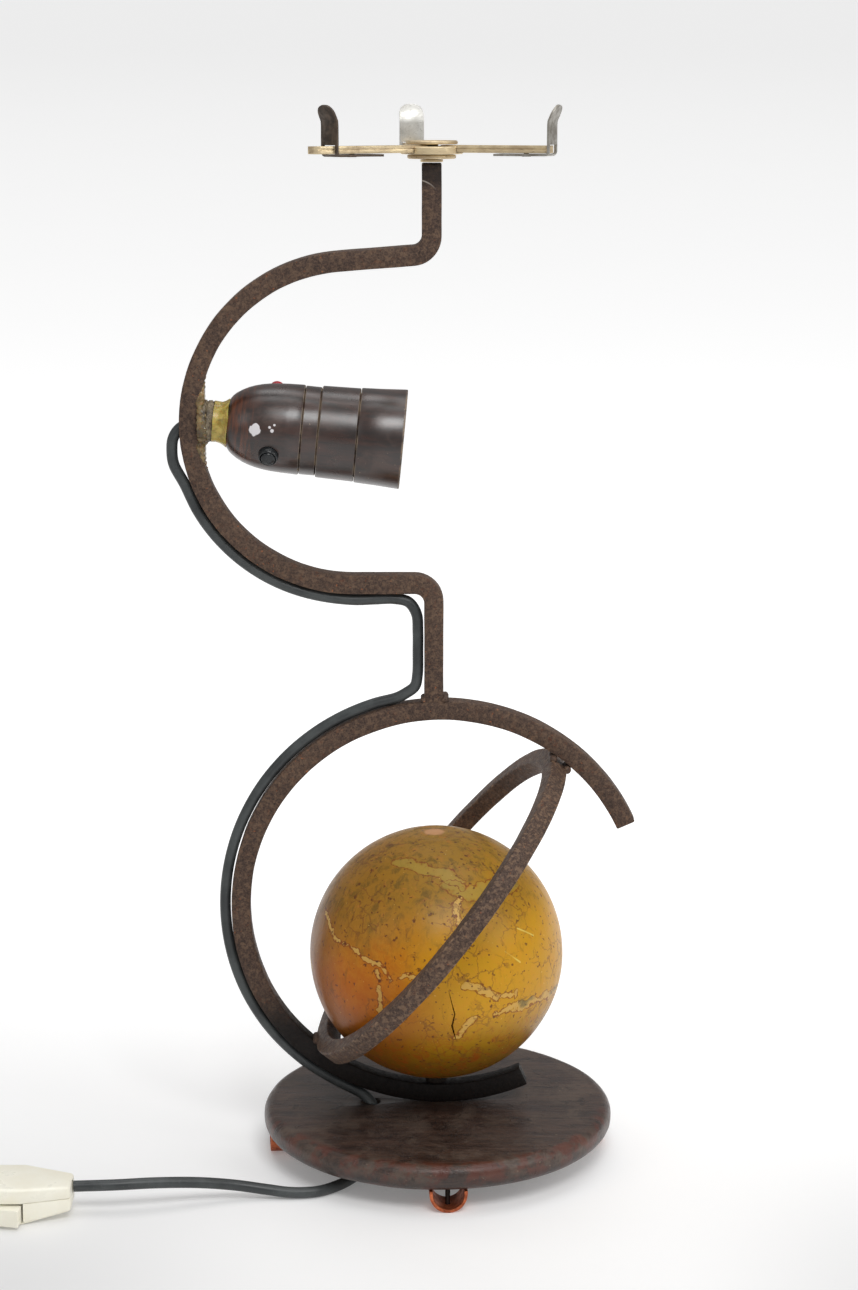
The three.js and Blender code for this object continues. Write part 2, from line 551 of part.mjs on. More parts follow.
// ---------- flat two-pin plug, lying on its broad side ----------
const plugFrame = frameAt(lamp, PLUG.x, PLUG.y, 0, 90);
const plugHalf = PLUG.width / 2;
const plugOutline = [
  [0, -PLUG.neck / 2], [8, -PLUG.neck / 2 - 1], [22, -plugHalf + 1], [26, -plugHalf],
  [PLUG.length - 4, -plugHalf],
  [PLUG.length, -plugHalf + 4], [PLUG.length, plugHalf - 4], [PLUG.length - 4, plugHalf], [26, plugHalf],
  [22, plugHalf - 1], [8, PLUG.neck / 2 + 1], [0, PLUG.neck / 2],
];
part(plugFrame, 'plug_body', plate(plugOutline, 0, PLUG.height), cream);
[-1, 1].forEach((end, i) => {
  const pin = rod(PLUG.pin, PLUG.length + GAP, PLUG.length + PLUG.pinLength, 16).rotateY(Math.PI / 2);
  part(plugFrame, `plug_pin_${i + 1}`, pin.translate(0, end * PLUG.pinGap / 2, plugEntryZ), brass);
});

export default lamp;
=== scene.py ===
"""Table lamp with a turned globe: the looks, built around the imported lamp.

Metres, +Z up, the lamp stands on z = 0. Lengths in the driving dimensions are millimetres, in a frame
whose z axis is the wooden foot's own axis, and at() carries them into the row's frame.
"""

import math

import bmesh
import bpy
from mathutils import Matrix, Vector


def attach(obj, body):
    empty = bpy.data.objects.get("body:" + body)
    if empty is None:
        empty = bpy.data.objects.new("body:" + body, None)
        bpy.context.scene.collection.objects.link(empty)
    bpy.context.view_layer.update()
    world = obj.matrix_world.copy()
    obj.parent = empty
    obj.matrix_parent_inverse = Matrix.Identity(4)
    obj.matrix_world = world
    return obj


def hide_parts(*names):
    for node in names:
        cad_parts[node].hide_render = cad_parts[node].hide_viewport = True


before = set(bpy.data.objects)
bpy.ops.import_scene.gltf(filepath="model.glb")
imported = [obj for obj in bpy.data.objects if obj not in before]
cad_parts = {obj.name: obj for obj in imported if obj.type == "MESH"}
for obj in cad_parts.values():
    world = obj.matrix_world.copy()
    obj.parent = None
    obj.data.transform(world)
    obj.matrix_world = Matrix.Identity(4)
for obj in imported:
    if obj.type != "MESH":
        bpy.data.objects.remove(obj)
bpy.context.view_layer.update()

# ---------- driving dimensions, in millimetres and degrees ----------
MM = 0.001
LAMP_X = 15.1
GAP = 0.3

DISC = {"radius": 80, "low": 10.5, "top": 22.4, "edge": 5}
FOOT = {"angles": (-86.5, 6.5, 95, 185), "reach": 77.5, "length": 15, "radius": 8.5, "wall": 1.6}
NAIL = {"shank": 1.1, "head": 2.4, "head_height": 0.7, "low": 0.1, "inset": 7}
BAR = 8.6
HOOP = {"x": 2, "z": 118.1, "inner": 86.8, "start": 24.4, "end": 294.3, "bulge": 1.4, "bulge_at": 220}
RING = {"x": 1.1, "z": 117, "outer": 86.1, "tilt": 51.3, "bar": 8.4}
GLOBE = {"x": -0.6, "z": 94.5, "radius": 57.6}
STEM = {"foot": -1.8, "top": -2.8, "top_z": 451.6, "bend": 8.5, "low_z": 266.9}
CRESCENT = {"x": -37.6, "z": 338.4, "radius": 71.5, "rise": 4.5}
HOLDER = {"x": -91.7, "z": 338.8, "droop": 5.5}
PUSH = {"along": 19, "lean": 60, "radius": 3.2}
GALLERY = {
    "angles": (-20.8, 99.2, 219.2), "clips": (55, 56, 55.5), "arms": (54.5, 60, 65),
    "tilt": 3.5, "lift": 0.3,
}
ARM = {"low": 456, "width": 7.6, "height": 3.2}
CLIP = {"width": 11, "gauge": 1, "height": 21.8, "leg": 25, "lean": 24, "lean_height": 7.5}
CLIP_RIVET_INSET = 12
CORD = 5
COIL = {"x": -266, "y": -8, "outer_turn": 35, "inner_turn": 20, "low": 3.0, "high": 8.0}
SWITCH = {"x": -196.6, "y": -76.7, "length": 72, "width": 28.7, "height": 17, "split": 10.3}
PLUG = {"x": -305, "y": 30, "length": 36, "width": 35, "height": 13.7}


def at(x, y, z):
    """A point of the foot's frame, in the row's frame and in metres."""
    return Vector((x + LAMP_X, y, z)) * MM


def stand(x=0, y=0, z=0, turn=0):
    """The place of a piece that stands upright, turned about its own z axis."""
    return Matrix.Translation(at(x, y, z)) @ Matrix.Rotation(math.radians(turn), 4, "Z")


def hub_place(turn=0):
    """The place of a gallery piece: the gallery leans back a little on the stem's end."""
    seat = Matrix.Translation(at(STEM["top"], 0, STEM["top_z"] + GALLERY["lift"]))
    lean = Matrix.Rotation(-math.radians(GALLERY["tilt"]), 4, "X")
    down = Matrix.Translation((0, 0, -STEM["top_z"] * MM))
    return seat @ lean @ down @ Matrix.Rotation(math.radians(turn), 4, "Z")


HOLDER_PLACE = Matrix.Translation(at(HOLDER["x"], 0, HOLDER["z"])) @ Matrix.Rotation(
    math.radians(90 + HOLDER["droop"]), 4, "Y"
)
PUSH_PLACE = (
    HOLDER_PLACE
    @ Matrix.Translation((0, 0, PUSH["along"] * MM))
    @ Matrix.Rotation(math.radians(90 - PUSH["lean"]), 4, "Z")
    @ Matrix.Rotation(math.radians(90), 4, "X")
)


# ---------- shader sums ----------
class Value:
    """A number or colour on the surface. Sums of values add Math nodes."""

    def __init__(self, paint, socket):
        self.paint = paint
        self.socket = socket

    def sum(self, operation, first, second):
        return self.paint.node("ShaderNodeMath", {"operation": operation}, {0: first, 1: second})

    def __add__(self, other):
        return self.sum("ADD", self, other)

    __radd__ = __add__

    def __sub__(self, other):
        return self.sum("SUBTRACT", self, other)

    def __rsub__(self, other):
        return self.sum("SUBTRACT", other, self)

    def __mul__(self, other):
        return self.sum("MULTIPLY", self, other)

    __rmul__ = __mul__

    def __truediv__(self, other):
        return self.sum("DIVIDE", self, other)

    def __abs__(self):
        return self.sum("ABSOLUTE", self, 0)

    def least(self, other):
        return self.sum("MINIMUM", self, other)

    def most(self, other):
        return self.sum("MAXIMUM", self, other)


class Paint:
    """One material: its nodes, and the surface's position in millimetres."""

    def __init__(self, name):
        self.material = bpy.data.materials.new(name)
        self.material.use_nodes = True
        self.tree = self.material.node_tree
        self.tree.nodes.clear()
        place = self.node("ShaderNodeTexCoord", output="Object")
        self.place = self.vector("SCALE", place, Scale=1 / MM)

    def node(self, kind, settings=None, inputs=None, output=0):
        made = self.tree.nodes.new(kind)
        for name, value in (settings or {}).items():
            setattr(made, name, value)
        for name, value in (inputs or {}).items():
            if isinstance(value, Value):
                self.tree.links.new(value.socket, made.inputs[name])
            else:
                made.inputs[name].default_value = value
        return Value(self, made.outputs[output])

    def vector(self, operation, *vectors, output=0, **numbers):
        inputs = dict(enumerate(vectors))
        inputs.update(numbers)
        return self.node("ShaderNodeVectorMath", {"operation": operation}, inputs, output)

    def moved(self, x=0, y=0, z=0, stretch=(1, 1, 1), turn=(0, 0, 0)):
        """The position seen from another origin, then turned and stretched."""
        local = self.vector("SUBTRACT", self.place, (x, y, z))
        turn = [math.radians(a) for a in turn]
        return self.node("ShaderNodeMapping", {}, {"Vector": local, "Rotation": turn, "Scale": stretch})

    def along(self, vector, axis):
        return self.node("ShaderNodeSeparateXYZ", {}, {0: vector}, output=axis)

    def noise(self, size, detail=4, rough=0.55, twist=0.0, vector=None, output=0):
        """Noise whose lumps are about size millimetres across."""
        inputs = {"Vector": vector or self.place, "Scale": 1 / size, "Detail": detail}
        inputs.update({"Roughness": rough, "Distortion": twist})
        return self.node("ShaderNodeTexNoise", {}, inputs, output)

    def cells(self, size, feature="F1", vector=None, output=0, random=1.0):
        inputs = {"Vector": vector or self.place, "Scale": 1 / size, "Randomness": random}
        return self.node("ShaderNodeTexVoronoi", {"feature": feature}, inputs, output)

    def between(self, value, low, high, start=0.0, end=1.0):
        """Rises smoothly from start to end while value goes from low to high."""
        inputs = {"Value": value, "From Min": low, "From Max": high, "To Min": start, "To Max": end}
        return self.node("ShaderNodeMapRange", {"interpolation_type": "SMOOTHSTEP"}, inputs)

    def mix(self, share, first, second, blend="MIX"):
        settings = {"data_type": "RGBA", "blend_type": blend}
        return self.node("ShaderNodeMix", settings, {0: share, 6: first, 7: second}, output=2)

    def spot(self, x, y, z, radius, soft=0.5, vector=None):
        """1 inside a ball of that radius and 0 outside it."""
        gap = self.vector("DISTANCE", vector or self.place, (x, y, z), output="Value")
        return self.between(gap, radius * (1 - soft), radius * (1 + soft), 1, 0)

    def line(self, points, vector):
        """The distance from a chain of straight pieces."""
        nearest = None
        for a, b in zip(points, points[1:]):
            a, b = Vector(a), Vector(b)
            step = b - a
            from_a = self.vector("SUBTRACT", vector, a)
            share = self.vector("DOT_PRODUCT", from_a, step / step.length_squared, output="Value")
            share = share.most(0).least(1)
            on_line = self.vector("SCALE", step, Scale=share)
            gap = self.vector("DISTANCE", from_a, on_line, output="Value")
            nearest = gap if nearest is None else nearest.least(gap)
        return nearest

    def edges(self, low=0.52, high=0.6):
        """1 on the piece's outer corners, where hands and cloths rub it, and where the tilted ring gets a
        painted edge highlight.
        """
        return self.between(self.node("ShaderNodeNewGeometry", output="Pointiness"), low, high)

    def bumped(self, height, strength, distance):
        inputs = {"Height": height, "Strength": strength, "Distance": distance * MM}
        return self.node("ShaderNodeBump", {}, inputs)

    def surface(self, color, roughness, normal=None, **settings):
        """Ends the material. Uniform settings go on the shader's own sockets."""
        inputs = {"Base Color": color, "Roughness": roughness}
        if normal is not None:
            inputs["Normal"] = normal
        inputs.update({name.replace("_", " "): value for name, value in settings.items()})
        shader = self.node("ShaderNodeBsdfPrincipled", {}, inputs)
        output = self.tree.nodes.new("ShaderNodeOutputMaterial")
        self.tree.links.new(shader.socket, output.inputs["Surface"])
        return self.material


def rgb(red, green, blue):
    """A colour given as it looks on a screen, 0 to 255, as the shader's linear colour."""

    def linear(channel):
        c = channel / 255
        return c / 12.92 if c <= 0.04045 else ((c + 0.055) / 1.055) ** 2.4

    return (linear(red), linear(green), linear(blue), 1.0)


# ---------- finishes ----------
def iron_paint(name, low_painted_shade=False, dark_top=False, rubbed=0.3):
    p = Paint(name)
    broad = p.noise(30, 3)
    grain = p.noise(0.8, 5, 0.75)
    blotch = p.noise(2.6, 6, 0.75, 0.4)
    color = p.mix(p.between(broad, 0.35, 0.65), rgb(63, 48, 41), rgb(76, 59, 49))
    color = p.mix(p.between(grain, 0.42, 0.66) * 0.6, color, rgb(112, 88, 72))
    color = p.mix(p.between(grain, 0.46, 0.34) * 0.6, color, rgb(30, 22, 20))
    rust = p.between(blotch, 0.55, 0.7) * p.between(broad, 0.4, 0.6)
    color = p.mix(rust * 0.6, color, rgb(108, 60, 38))
    flecks = p.between(p.noise(1.9, 3, 0.6), 0.665, 0.73)
    color = p.mix(flecks * 0.8, color, rgb(158, 92, 54))
    # Lighter corners: real rubbing, and on the tilted ring, with the strong setting, also a painted highlight
    # along the edges.
    edge_wear_and_sheen = p.edges(0.505, 0.56) * p.between(p.noise(1.8, 5), 0.46, 0.66)
    color = p.mix(edge_wear_and_sheen * rubbed, color, rgb(164, 132, 104))
    height = p.along(p.place, 2)
    if low_painted_shade:
        # Painted shade: the hoop's lower part, under the globe, fades to near black.
        dark_band = p.between(height + p.noise(16, 3) * 14, 92, 62)
        color = p.mix(dark_band * 0.93, color, rgb(7, 5, 5))
    if dark_top:
        # Darker at the top of the stem, just under the gallery hub, with a pale scratch through it.
        scratch = abs(p.vector("DISTANCE", p.place, (5.5, -4.3, 434), output="Value") - 11)
        dark_band = p.between(height + p.noise(5, 4) * 6, 443, 448)
        color = p.mix(dark_band * 0.75, color, rgb(24, 19, 18))
        color = p.mix(p.between(scratch, 0.4, 0.15) * dark_band * 0.8, color, rgb(170, 160, 150))
    rough = p.between(blotch, 0.3, 0.7, 0.45, 0.7)
    bumps = p.bumped(grain + blotch * 1.5, 0.5, 0.4)
    return p.surface(color, rough, bumps, Metallic=0.1, Specular_IOR_Level=0.35)


def wood_paint():
    p = Paint("stained_wood")
    local = p.moved(LAMP_X)
    rim = p.vector("LENGTH", p.moved(LAMP_X, stretch=(1, 1, 0)), output="Value")
    grain = p.noise(4, 8, 0.75, 0.6, p.moved(LAMP_X, stretch=(0.16, 1, 1), turn=(0, 0, 4)))
    cloud = p.noise(16, 8, 0.75, 0.4)
    color = p.mix(p.between(grain, 0.36, 0.66), rgb(44, 31, 26), rgb(80, 60, 50))
    color = p.mix(p.between(cloud, 0.44, 0.64) * 0.6, color, rgb(98, 84, 73))
    dark = p.between(p.noise(7, 5, 0.7, 0.8), 0.56, 0.68)
    color = p.mix(dark * 0.6, color, rgb(24, 14, 11))
    worn = p.between(rim, 71, 77) * p.between(p.noise(10, 5, 0.6), 0.47, 0.6)
    worn = worn * p.between(p.along(local, 1), 10, -40)
    color = p.mix(worn * 0.55, color, rgb(98, 44, 28))
    specks = p.between(p.noise(1.3, 2), 0.71, 0.77)
    color = p.mix(specks * 0.6, color, rgb(156, 138, 116))
    # Painted shade: the lower half of the rounded rim is darkened, as it faces away from the light.
    low_rim_painted_shade = p.between(rim, 76, 80) * p.between(p.along(p.place, 2), 18, 13)
    color = p.mix(low_rim_painted_shade * 0.6, color, rgb(20, 12, 11))
    rough = p.between(cloud, 0.3, 0.7, 0.3, 0.5)
    normal = p.bumped(cloud * 2 + grain + dark, 0.5, 0.45)
    return p.surface(color, rough, normal, Coat_Weight=0.12, Coat_Roughness=0.25)


GLOBE_SHORES = (
    ([(-56, -6, 30), (-48, -23, 22), (-45, -31, 17), (-34, -44, 14), (-23, -52, 11), (-20, -53, 6)], 1.1),
    ([(-26, -51, 8), (-25, -52, 2), (-25, -51, -9)], 1.2),
    ([(-20, -54, 6), (-14, -55, 8), (-8, -57, 7)], 0.9),
    ([(13, -56, 4), (20, -54, 1), (27, -51, -3)], 1.9),
    ([(27, -51, -3), (34, -46, -5)], 1.5),
    ([(9, -53, -22), (13, -54, -16), (17, -53, -12)], 1.6),
    ([(26, -50, -12), (36, -44, -10), (47, -31, -11), (55, -13, -14)], 1.6),
    ([(-57, -6, 2), (-56, -12, -6)], 1.2),
    ([(10, -42, 40), (9, -46, 33), (11, -49, 27)], 1.4),
)
GLOBE_LANDS = (
    ([(-17, -22, 50), (-8, -28, 49), (2, -32, 48), (10, -36, 44)], 2.6),
    ([(6, -37, 43), (13, -39, 40), (22, -34, 41), (34, -24, 40)], 3.2),
)
GLOBE_VEINS = (
    [(6, -36, 45), (2, -40, 41), (8, -44, 36), (5, -48, 31), (8, -51, 25)],
    [(8, -44, 36), (14, -44, 34), (12, -48, 29), (16, -50, 22)],
    [(-30, -20, 45), (-18, -30, 45), (-4, -36, 44), (4, -38, 43)],
    [(14, -38, 41), (20, -42, 33), (18, -46, 29)],
    [(5, -57, 8), (6, -57, 2), (12, -56, -2), (24, -52, -6)],
)


def globe_paint():
    """Painted land and sea: pale shores run between red-brown outlines over an ochre ground."""
    p = Paint("painted_globe")
    local = p.moved(GLOBE["x"] + LAMP_X, 0, GLOBE["z"])

    def wander(scale, reach):
        inputs = {"Vector": local, "Scale": scale, "Detail": 4}
        color = p.node("ShaderNodeTexNoise", {}, inputs, output="Color")
        return p.vector("SCALE", p.vector("SUBTRACT", color, (0.5, 0.5, 0.5)), Scale=reach)

    wavy = p.vector("ADD", local, p.vector("ADD", wander(0.14, 8), wander(0.5, 2.4)))
    x, z = p.along(local, 0), p.along(local, 2)
    broad = p.noise(26, 4, 0.6, vector=local)
    mottle = p.noise(5, 8, 0.75, 1.0, local)
    smear = p.node("ShaderNodeMapping", {}, {"Vector": local, "Scale": (1, 1, 0.35)})
    streak = p.noise(4, 7, 0.7, 0.6, smear)
    color = p.mix(p.between(x + broad * 40, -14, 34), rgb(186, 108, 14), rgb(198, 146, 22))
    color = p.mix(p.between(mottle, 0.4, 0.64) * 0.5, color, rgb(206, 142, 30))
    orange = p.between(x, 0, -34) * p.between(z, 24, -8)
    color = p.mix(orange * 0.65, color, rgb(178, 88, 8))
    high = p.between(z + broad * 30 - x * 0.25, 26, 62)
    color = p.mix(high * 0.8, color, rgb(142, 106, 36))
    color = p.mix(high * p.between(streak, 0.46, 0.64) * 0.6, color, rgb(92, 74, 30))
    color = p.mix(high * p.between(mottle, 0.52, 0.68) * 0.7, color, rgb(176, 112, 44))
    # Painted shade: the globe's underside goes darker; the same mask also lays real red-orange patches there.
    low = p.between(z + broad * 14, 0, -36)
    color = p.mix(low * 0.85, color, rgb(96, 66, 8))
    color = p.mix(low * p.between(mottle, 0.48, 0.62) * 0.8, color, rgb(150, 62, 12))
    color = p.mix(p.between(streak, 0.56, 0.7) * 0.4, color, rgb(104, 74, 22))
    left_shade = p.between(x, -38, -56)
    color = p.mix(left_shade * 0.5, color, rgb(92, 62, 24))

    def chained(groups, target):
        near, ring = None, None
        for points, width in groups:
            gap = p.line(points, target) / width
            rim = abs(gap - 1.2) * width
            near = gap if near is None else near.least(gap)
            ring = rim if ring is None else ring.least(rim)
        return near, ring

    lands, land_rim = chained(GLOBE_LANDS, wavy)
    color = p.mix(p.between(lands, 1.15, 0.7) * 0.7, color, rgb(166, 138, 58))
    shores, shore_rim = chained(GLOBE_SHORES, wavy)
    color = p.mix(p.between(shores, 1.15, 0.75) * 0.85, color, rgb(206, 164, 84))
    veins, _ = chained([(points, 1) for points in GLOBE_VEINS], wavy)
    ink = land_rim.least(shore_rim).least(veins)
    ink = p.between(ink + p.noise(3, 4, vector=local) * 0.8, 0.78, 0.48)
    color = p.mix(ink * 0.75, color, rgb(118, 50, 22))
    crackle = p.cells(9, "DISTANCE_TO_EDGE", wavy)
    some = p.between(p.noise(20, 3, vector=local), 0.48, 0.6)
    color = p.mix(p.between(crackle, 0.05, 0.01) * some * 0.5, color, rgb(104, 58, 30))

    # Wear: dark specks, pale bits, a smudge, scratches and a chip by the pole.
    specks = p.between(p.noise(2.2, 2, 0.5, vector=local), 0.63, 0.7)
    color = p.mix(specks * 0.8, color, rgb(88, 44, 22))
    bits = p.between(p.noise(1.3, 2, 0.5, vector=p.vector("ADD", local, (50, 0, 0))), 0.73, 0.78)
    color = p.mix(bits * 0.7, color, rgb(226, 188, 96))
    smudge = p.between(p.line([(37, -43, -9), (54, -16, -12)], wavy), 2.4, 0.6)
    color = p.mix(smudge * 0.6, color, rgb(58, 70, 44))
    scratch = p.line([(36, -38, 24), (43, -33, 19)], local)
    scratch = scratch.least(p.line([(30, -46, 16), (37, -43, 10)], local))
    color = p.mix(p.between(scratch, 0.55, 0.2) * 0.85, color, rgb(222, 198, 96))
    chip = p.spot(-1, 0, 57.5, 4.6, 0.2, p.vector("ADD", local, wander(0.3, 2)))
    color = p.mix(chip * 0.85, color, rgb(206, 150, 104))
    rough = p.between(streak, 0.3, 0.75, 0.3, 0.42)
    normal = p.bumped(streak + mottle - specks * 0.5 - chip * 0.8, 0.25, 0.4)
    return p.surface(color, rough, normal, Specular_IOR_Level=0.25)


def bakelite_paint():
    p = Paint("brown_bakelite")
    local = p.moved(HOLDER["x"] + LAMP_X, 0, HOLDER["z"], turn=(0, -HOLDER["droop"], 0))
    s = p.along(local, 0)

    def streaked(along, across):
        settings = {"Vector": local, "Scale": (1 / along, 1 / across, 1 / across)}
        return p.noise(1, 6, 0.65, 0.5, p.node("ShaderNodeMapping", {}, settings))

    wisps = streaked(16, 3.5)
    rings = streaked(1.6, 14)
    cloud = p.noise(15, 5, 0.65, 0.5, local)
    color = p.mix(p.between(wisps, 0.36, 0.68), rgb(28, 14, 9), rgb(58, 31, 21))
    color = p.mix(p.between(cloud, 0.52, 0.7) * 0.5, color, rgb(78, 56, 46))
    warm = p.between(s, 16, 5) * p.between(rings, 0.44, 0.64)
    color = p.mix(warm * 0.7, color, rgb(112, 58, 28))
    seams = abs(s - 32.3).least(abs(s - 39.55)).least(abs(s - 56.6)).least(abs(s - 76.6))
    dirt = p.between(seams, 0.7, 0.25) * p.between(p.noise(5, 4, vector=local), 0.36, 0.6)
    color = p.mix(dirt * 0.7, color, rgb(150, 130, 106))
    specks = p.between(p.noise(1.3, 2, vector=local), 0.73, 0.78)
    color = p.mix(specks * 0.7, color, rgb(186, 160, 124))
    wander = p.node("ShaderNodeTexNoise", {}, {"Vector": local, "Scale": 0.45, "Detail": 3}, output="Color")
    wander = p.vector("SCALE", p.vector("SUBTRACT", wander, (0.5, 0.5, 0.5)), Scale=3.2)
    torn = p.vector("ADD", local, wander)
    chips = p.spot(12.2, -17.8, 1.2, 2.5, 0.1, torn)
    for x, z, size in ((18.6, 3.0, 0.6), (19.8, 1.6, 0.8), (20.6, 4.2, 0.5)):
        chips = chips.most(p.spot(x, -19, z, size, 0.2, local))
    color = p.mix(chips, color, rgb(226, 222, 224))
    rough = p.between(cloud, 0.3, 0.7, 0.26, 0.36) + dirt * 0.4
    return p.surface(color, rough, p.bumped(cloud + chips * 0.3, 0.1, 0.5), Specular_IOR_Level=1.0)


def flat_paint(name, base, second, rough, size=4, **settings):
    """A moulded or glazed surface: two near tones and a faint waviness."""
    p = Paint(name)
    cloud = p.noise(size, 5, 0.6)
    color = p.mix(p.between(cloud, 0.35, 0.7), base, second)
    return p.surface(
        color,
        p.between(cloud, 0.3, 0.7, rough * 0.85, rough * 1.2),
        p.bumped(cloud, 0.12, 0.15),
        **settings,
    )


def metal_paint(name, bright, dull, dark, rough, metallic=0.8, size=6, stretch=(1, 1, 1)):
    """Old plain metal: rubbed bright on its corners, dull in patches and spotted dark."""
    p = Paint(name)
    local = p.node("ShaderNodeMapping", {}, {"Vector": p.place, "Scale": stretch})
    patch = p.noise(size, 6, 0.65, 0.5, local)
    fine = p.noise(size / 7, 4, 0.6, 0, local)
    color = p.mix(p.between(patch, 0.38, 0.66), bright, dull)
    color = p.mix(p.between(fine, 0.56, 0.74) * 0.7, color, dark)
    color = p.mix(p.edges(0.52, 0.6) * 0.5, color, bright)
    roughness = p.between(patch, 0.3, 0.7, rough, rough + 0.25)
    return p.surface(color, roughness, p.bumped(fine + patch, 0.22, 0.2), Metallic=metallic)


def resin_paint(name, dark, pale):
    p = Paint(name)
    cloud = p.noise(5, 5, 0.6, 0.6)
    color = p.mix(p.between(cloud, 0.34, 0.66), dark, pale)
    dirt = p.between(p.noise(2.4, 4), 0.58, 0.72)
    color = p.mix(dirt * 0.5, color, rgb(84, 66, 40))
    return p.surface(
        color, p.between(cloud, 0.3, 0.7, 0.18, 0.34), p.bumped(cloud, 0.18, 0.4),
        Subsurface_Weight=0.3, Subsurface_Scale=0.004,
    )


def putty_paint():
    p = Paint("grey_putty")
    cloud = p.noise(3.4, 6, 0.7, 0.8)
    color = p.mix(p.between(cloud, 0.36, 0.62), rgb(58, 48, 38), rgb(142, 128, 104))
    pale = p.between(p.noise(1.5, 4), 0.6, 0.7)
    color = p.mix(pale * 0.6, color, rgb(190, 180, 150))
    return p.surface(color, p.between(cloud, 0.3, 0.7, 0.4, 0.7), p.bumped(cloud, 0.7, 0.6))


def cable_paint():
    p = Paint("lead_sheath")
    fine = p.noise(1.2, 4, 0.6)
    cloud = p.noise(18, 4, 0.6)
    color = p.mix(p.between(cloud, 0.35, 0.65), rgb(50, 53, 54), rgb(72, 76, 76))
    dust = p.between(fine, 0.6, 0.78)
    color = p.mix(dust * 0.3, color, rgb(116, 116, 112))
    return p.surface(color, p.between(cloud, 0.3, 0.7, 0.36, 0.5), p.bumped(fine, 0.2, 0.12))


IRON = iron_paint("rusty_iron")
# The hoop's iron carries painted shade on its lower part, under the globe.
HOOP_IRON = iron_paint("rusty_iron_shaded_low", low_painted_shade=True)
STEM_IRON = iron_paint("rusty_iron_high", dark_top=True)
# The tilted ring's pale corners are partly real rubbing and partly a painted highlight along its edges.
RING_IRON = iron_paint("rubbed_iron_edge_sheen", rubbed=0.9)
WOOD = wood_paint()
GLOBE_COAT = globe_paint()
BAKELITE = bakelite_paint()
BLACK_BAKELITE = flat_paint("black_bakelite", rgb(24, 26, 28), rgb(40, 43, 45), 0.25)
RED = flat_paint("red_plastic", rgb(170, 24, 40), rgb(150, 20, 34), 0.3)
CREAM = flat_paint("cream_plastic", rgb(250, 247, 232), rgb(244, 239, 220), 0.3, 20)
CERAMIC = flat_paint("glazed_ceramic", rgb(228, 222, 210), rgb(206, 196, 178), 0.25, 8)
RESIN = resin_paint("yellow_resin", rgb(138, 116, 46), rgb(196, 174, 92))
RESIN_DARK = resin_paint("smoked_resin", rgb(84, 68, 46), rgb(146, 124, 84))
PUTTY = putty_paint()
SHEATH = cable_paint()
COPPER = metal_paint("tarnished_copper", rgb(206, 116, 76), rgb(150, 78, 50), rgb(74, 44, 34), 0.35)
BRASS = metal_paint(
    "worn_brass", rgb(232, 212, 172), rgb(186, 164, 132), rgb(108, 86, 66), 0.3, 0.6, 5, (0.4, 0.4, 1)
)
BRIGHT_BRASS = metal_paint("screw_brass", rgb(214, 176, 104), rgb(176, 138, 76), rgb(110, 82, 46), 0.26)
# Painted shade: brass made near black for the spacer that sits in the shadow under the globe.
SHADED_BRASS = metal_paint("brass_painted_shade", rgb(40, 32, 26), rgb(26, 20, 16), rgb(12, 10, 9), 0.6, 0.3)
DARK_STEEL = metal_paint("black_steel", rgb(46, 42, 40), rgb(30, 26, 24), rgb(14, 12, 11), 0.5, 0.4)
STEEL = metal_paint("dull_steel", rgb(150, 147, 140), rgb(112, 108, 101), rgb(74, 62, 52), 0.35)
CLIP_STEEL = (
    metal_paint("clip_steel_mid", rgb(168, 164, 156), rgb(128, 122, 112), rgb(92, 82, 72), 0.38, 0.7, 5),
    metal_paint("clip_steel_pale", rgb(206, 205, 200), rgb(172, 170, 164), rgb(128, 122, 112), 0.34, 0.7, 7),
    metal_paint("clip_steel_dark", rgb(98, 84, 72), rgb(66, 58, 52), rgb(104, 66, 42), 0.42, 0.6, 5),
)


# ---------- modelling helpers ----------
def only(obj):
    bpy.ops.object.select_all(action="DESELECT")
    obj.select_set(True)
    bpy.context.view_layer.objects.active = obj


def start(name, primitive, **settings):
    """Adds one primitive, names it, and opens it for editing with all of it selected."""
    close_edit()
    bpy.ops.object.select_all(action="DESELECT")
    primitive(**settings)
    obj = bpy.context.object
    obj.name = obj.data.name = name
    bpy.ops.object.transform_apply()
    bpy.ops.object.mode_set(mode="EDIT")
    bpy.ops.mesh.select_all(action="SELECT")
    return obj


def close_edit():
    if bpy.context.mode != "OBJECT":
        bpy.ops.object.mode_set(mode="OBJECT")


def flat(name, length, width, middle=(0, 0, 0), upright=False):
    """A flat face open for editing: length along x, or along z when it stands upright."""
    obj = start(name, bpy.ops.mesh.primitive_plane_add, size=MM)
    bpy.ops.transform.resize(value=(length, width, 1), center_override=(0, 0, 0))
    if upright:
        bpy.ops.transform.rotate(value=math.radians(90), orient_axis="Y", center_override=(0, 0, 0))
    bpy.ops.transform.translate(value=Vector(middle) * MM)
    return obj


def block(name, size, middle):
    """A box open for editing."""
    cube = bpy.ops.mesh.primitive_cube_add
    return start(name, cube, size=1, location=Vector(middle) * MM, scale=Vector(size) * MM)


def face_out():
    bpy.ops.mesh.select_all(action="SELECT")
    bpy.ops.mesh.normals_make_consistent(inside=False)


def pick(obj, wanted, kind="VERT"):
    """Selects the vertices, edges or faces whose middle passes the test, and nothing else."""
    bpy.ops.mesh.select_all(action="DESELECT")
    bpy.ops.mesh.select_mode(type=kind)
    mesh = bmesh.from_edit_mesh(obj.data)
    for item in {"VERT": mesh.verts, "EDGE": mesh.edges, "FACE": mesh.faces}[kind]:
        if kind == "VERT":
            middle = item.co
        else:
            middle = sum((v.co for v in item.verts), Vector()) / len(item.verts)
        item.select_set(bool(wanted(middle / MM)))
    mesh.select_flush_mode()
    bmesh.update_edit_mesh(obj.data)


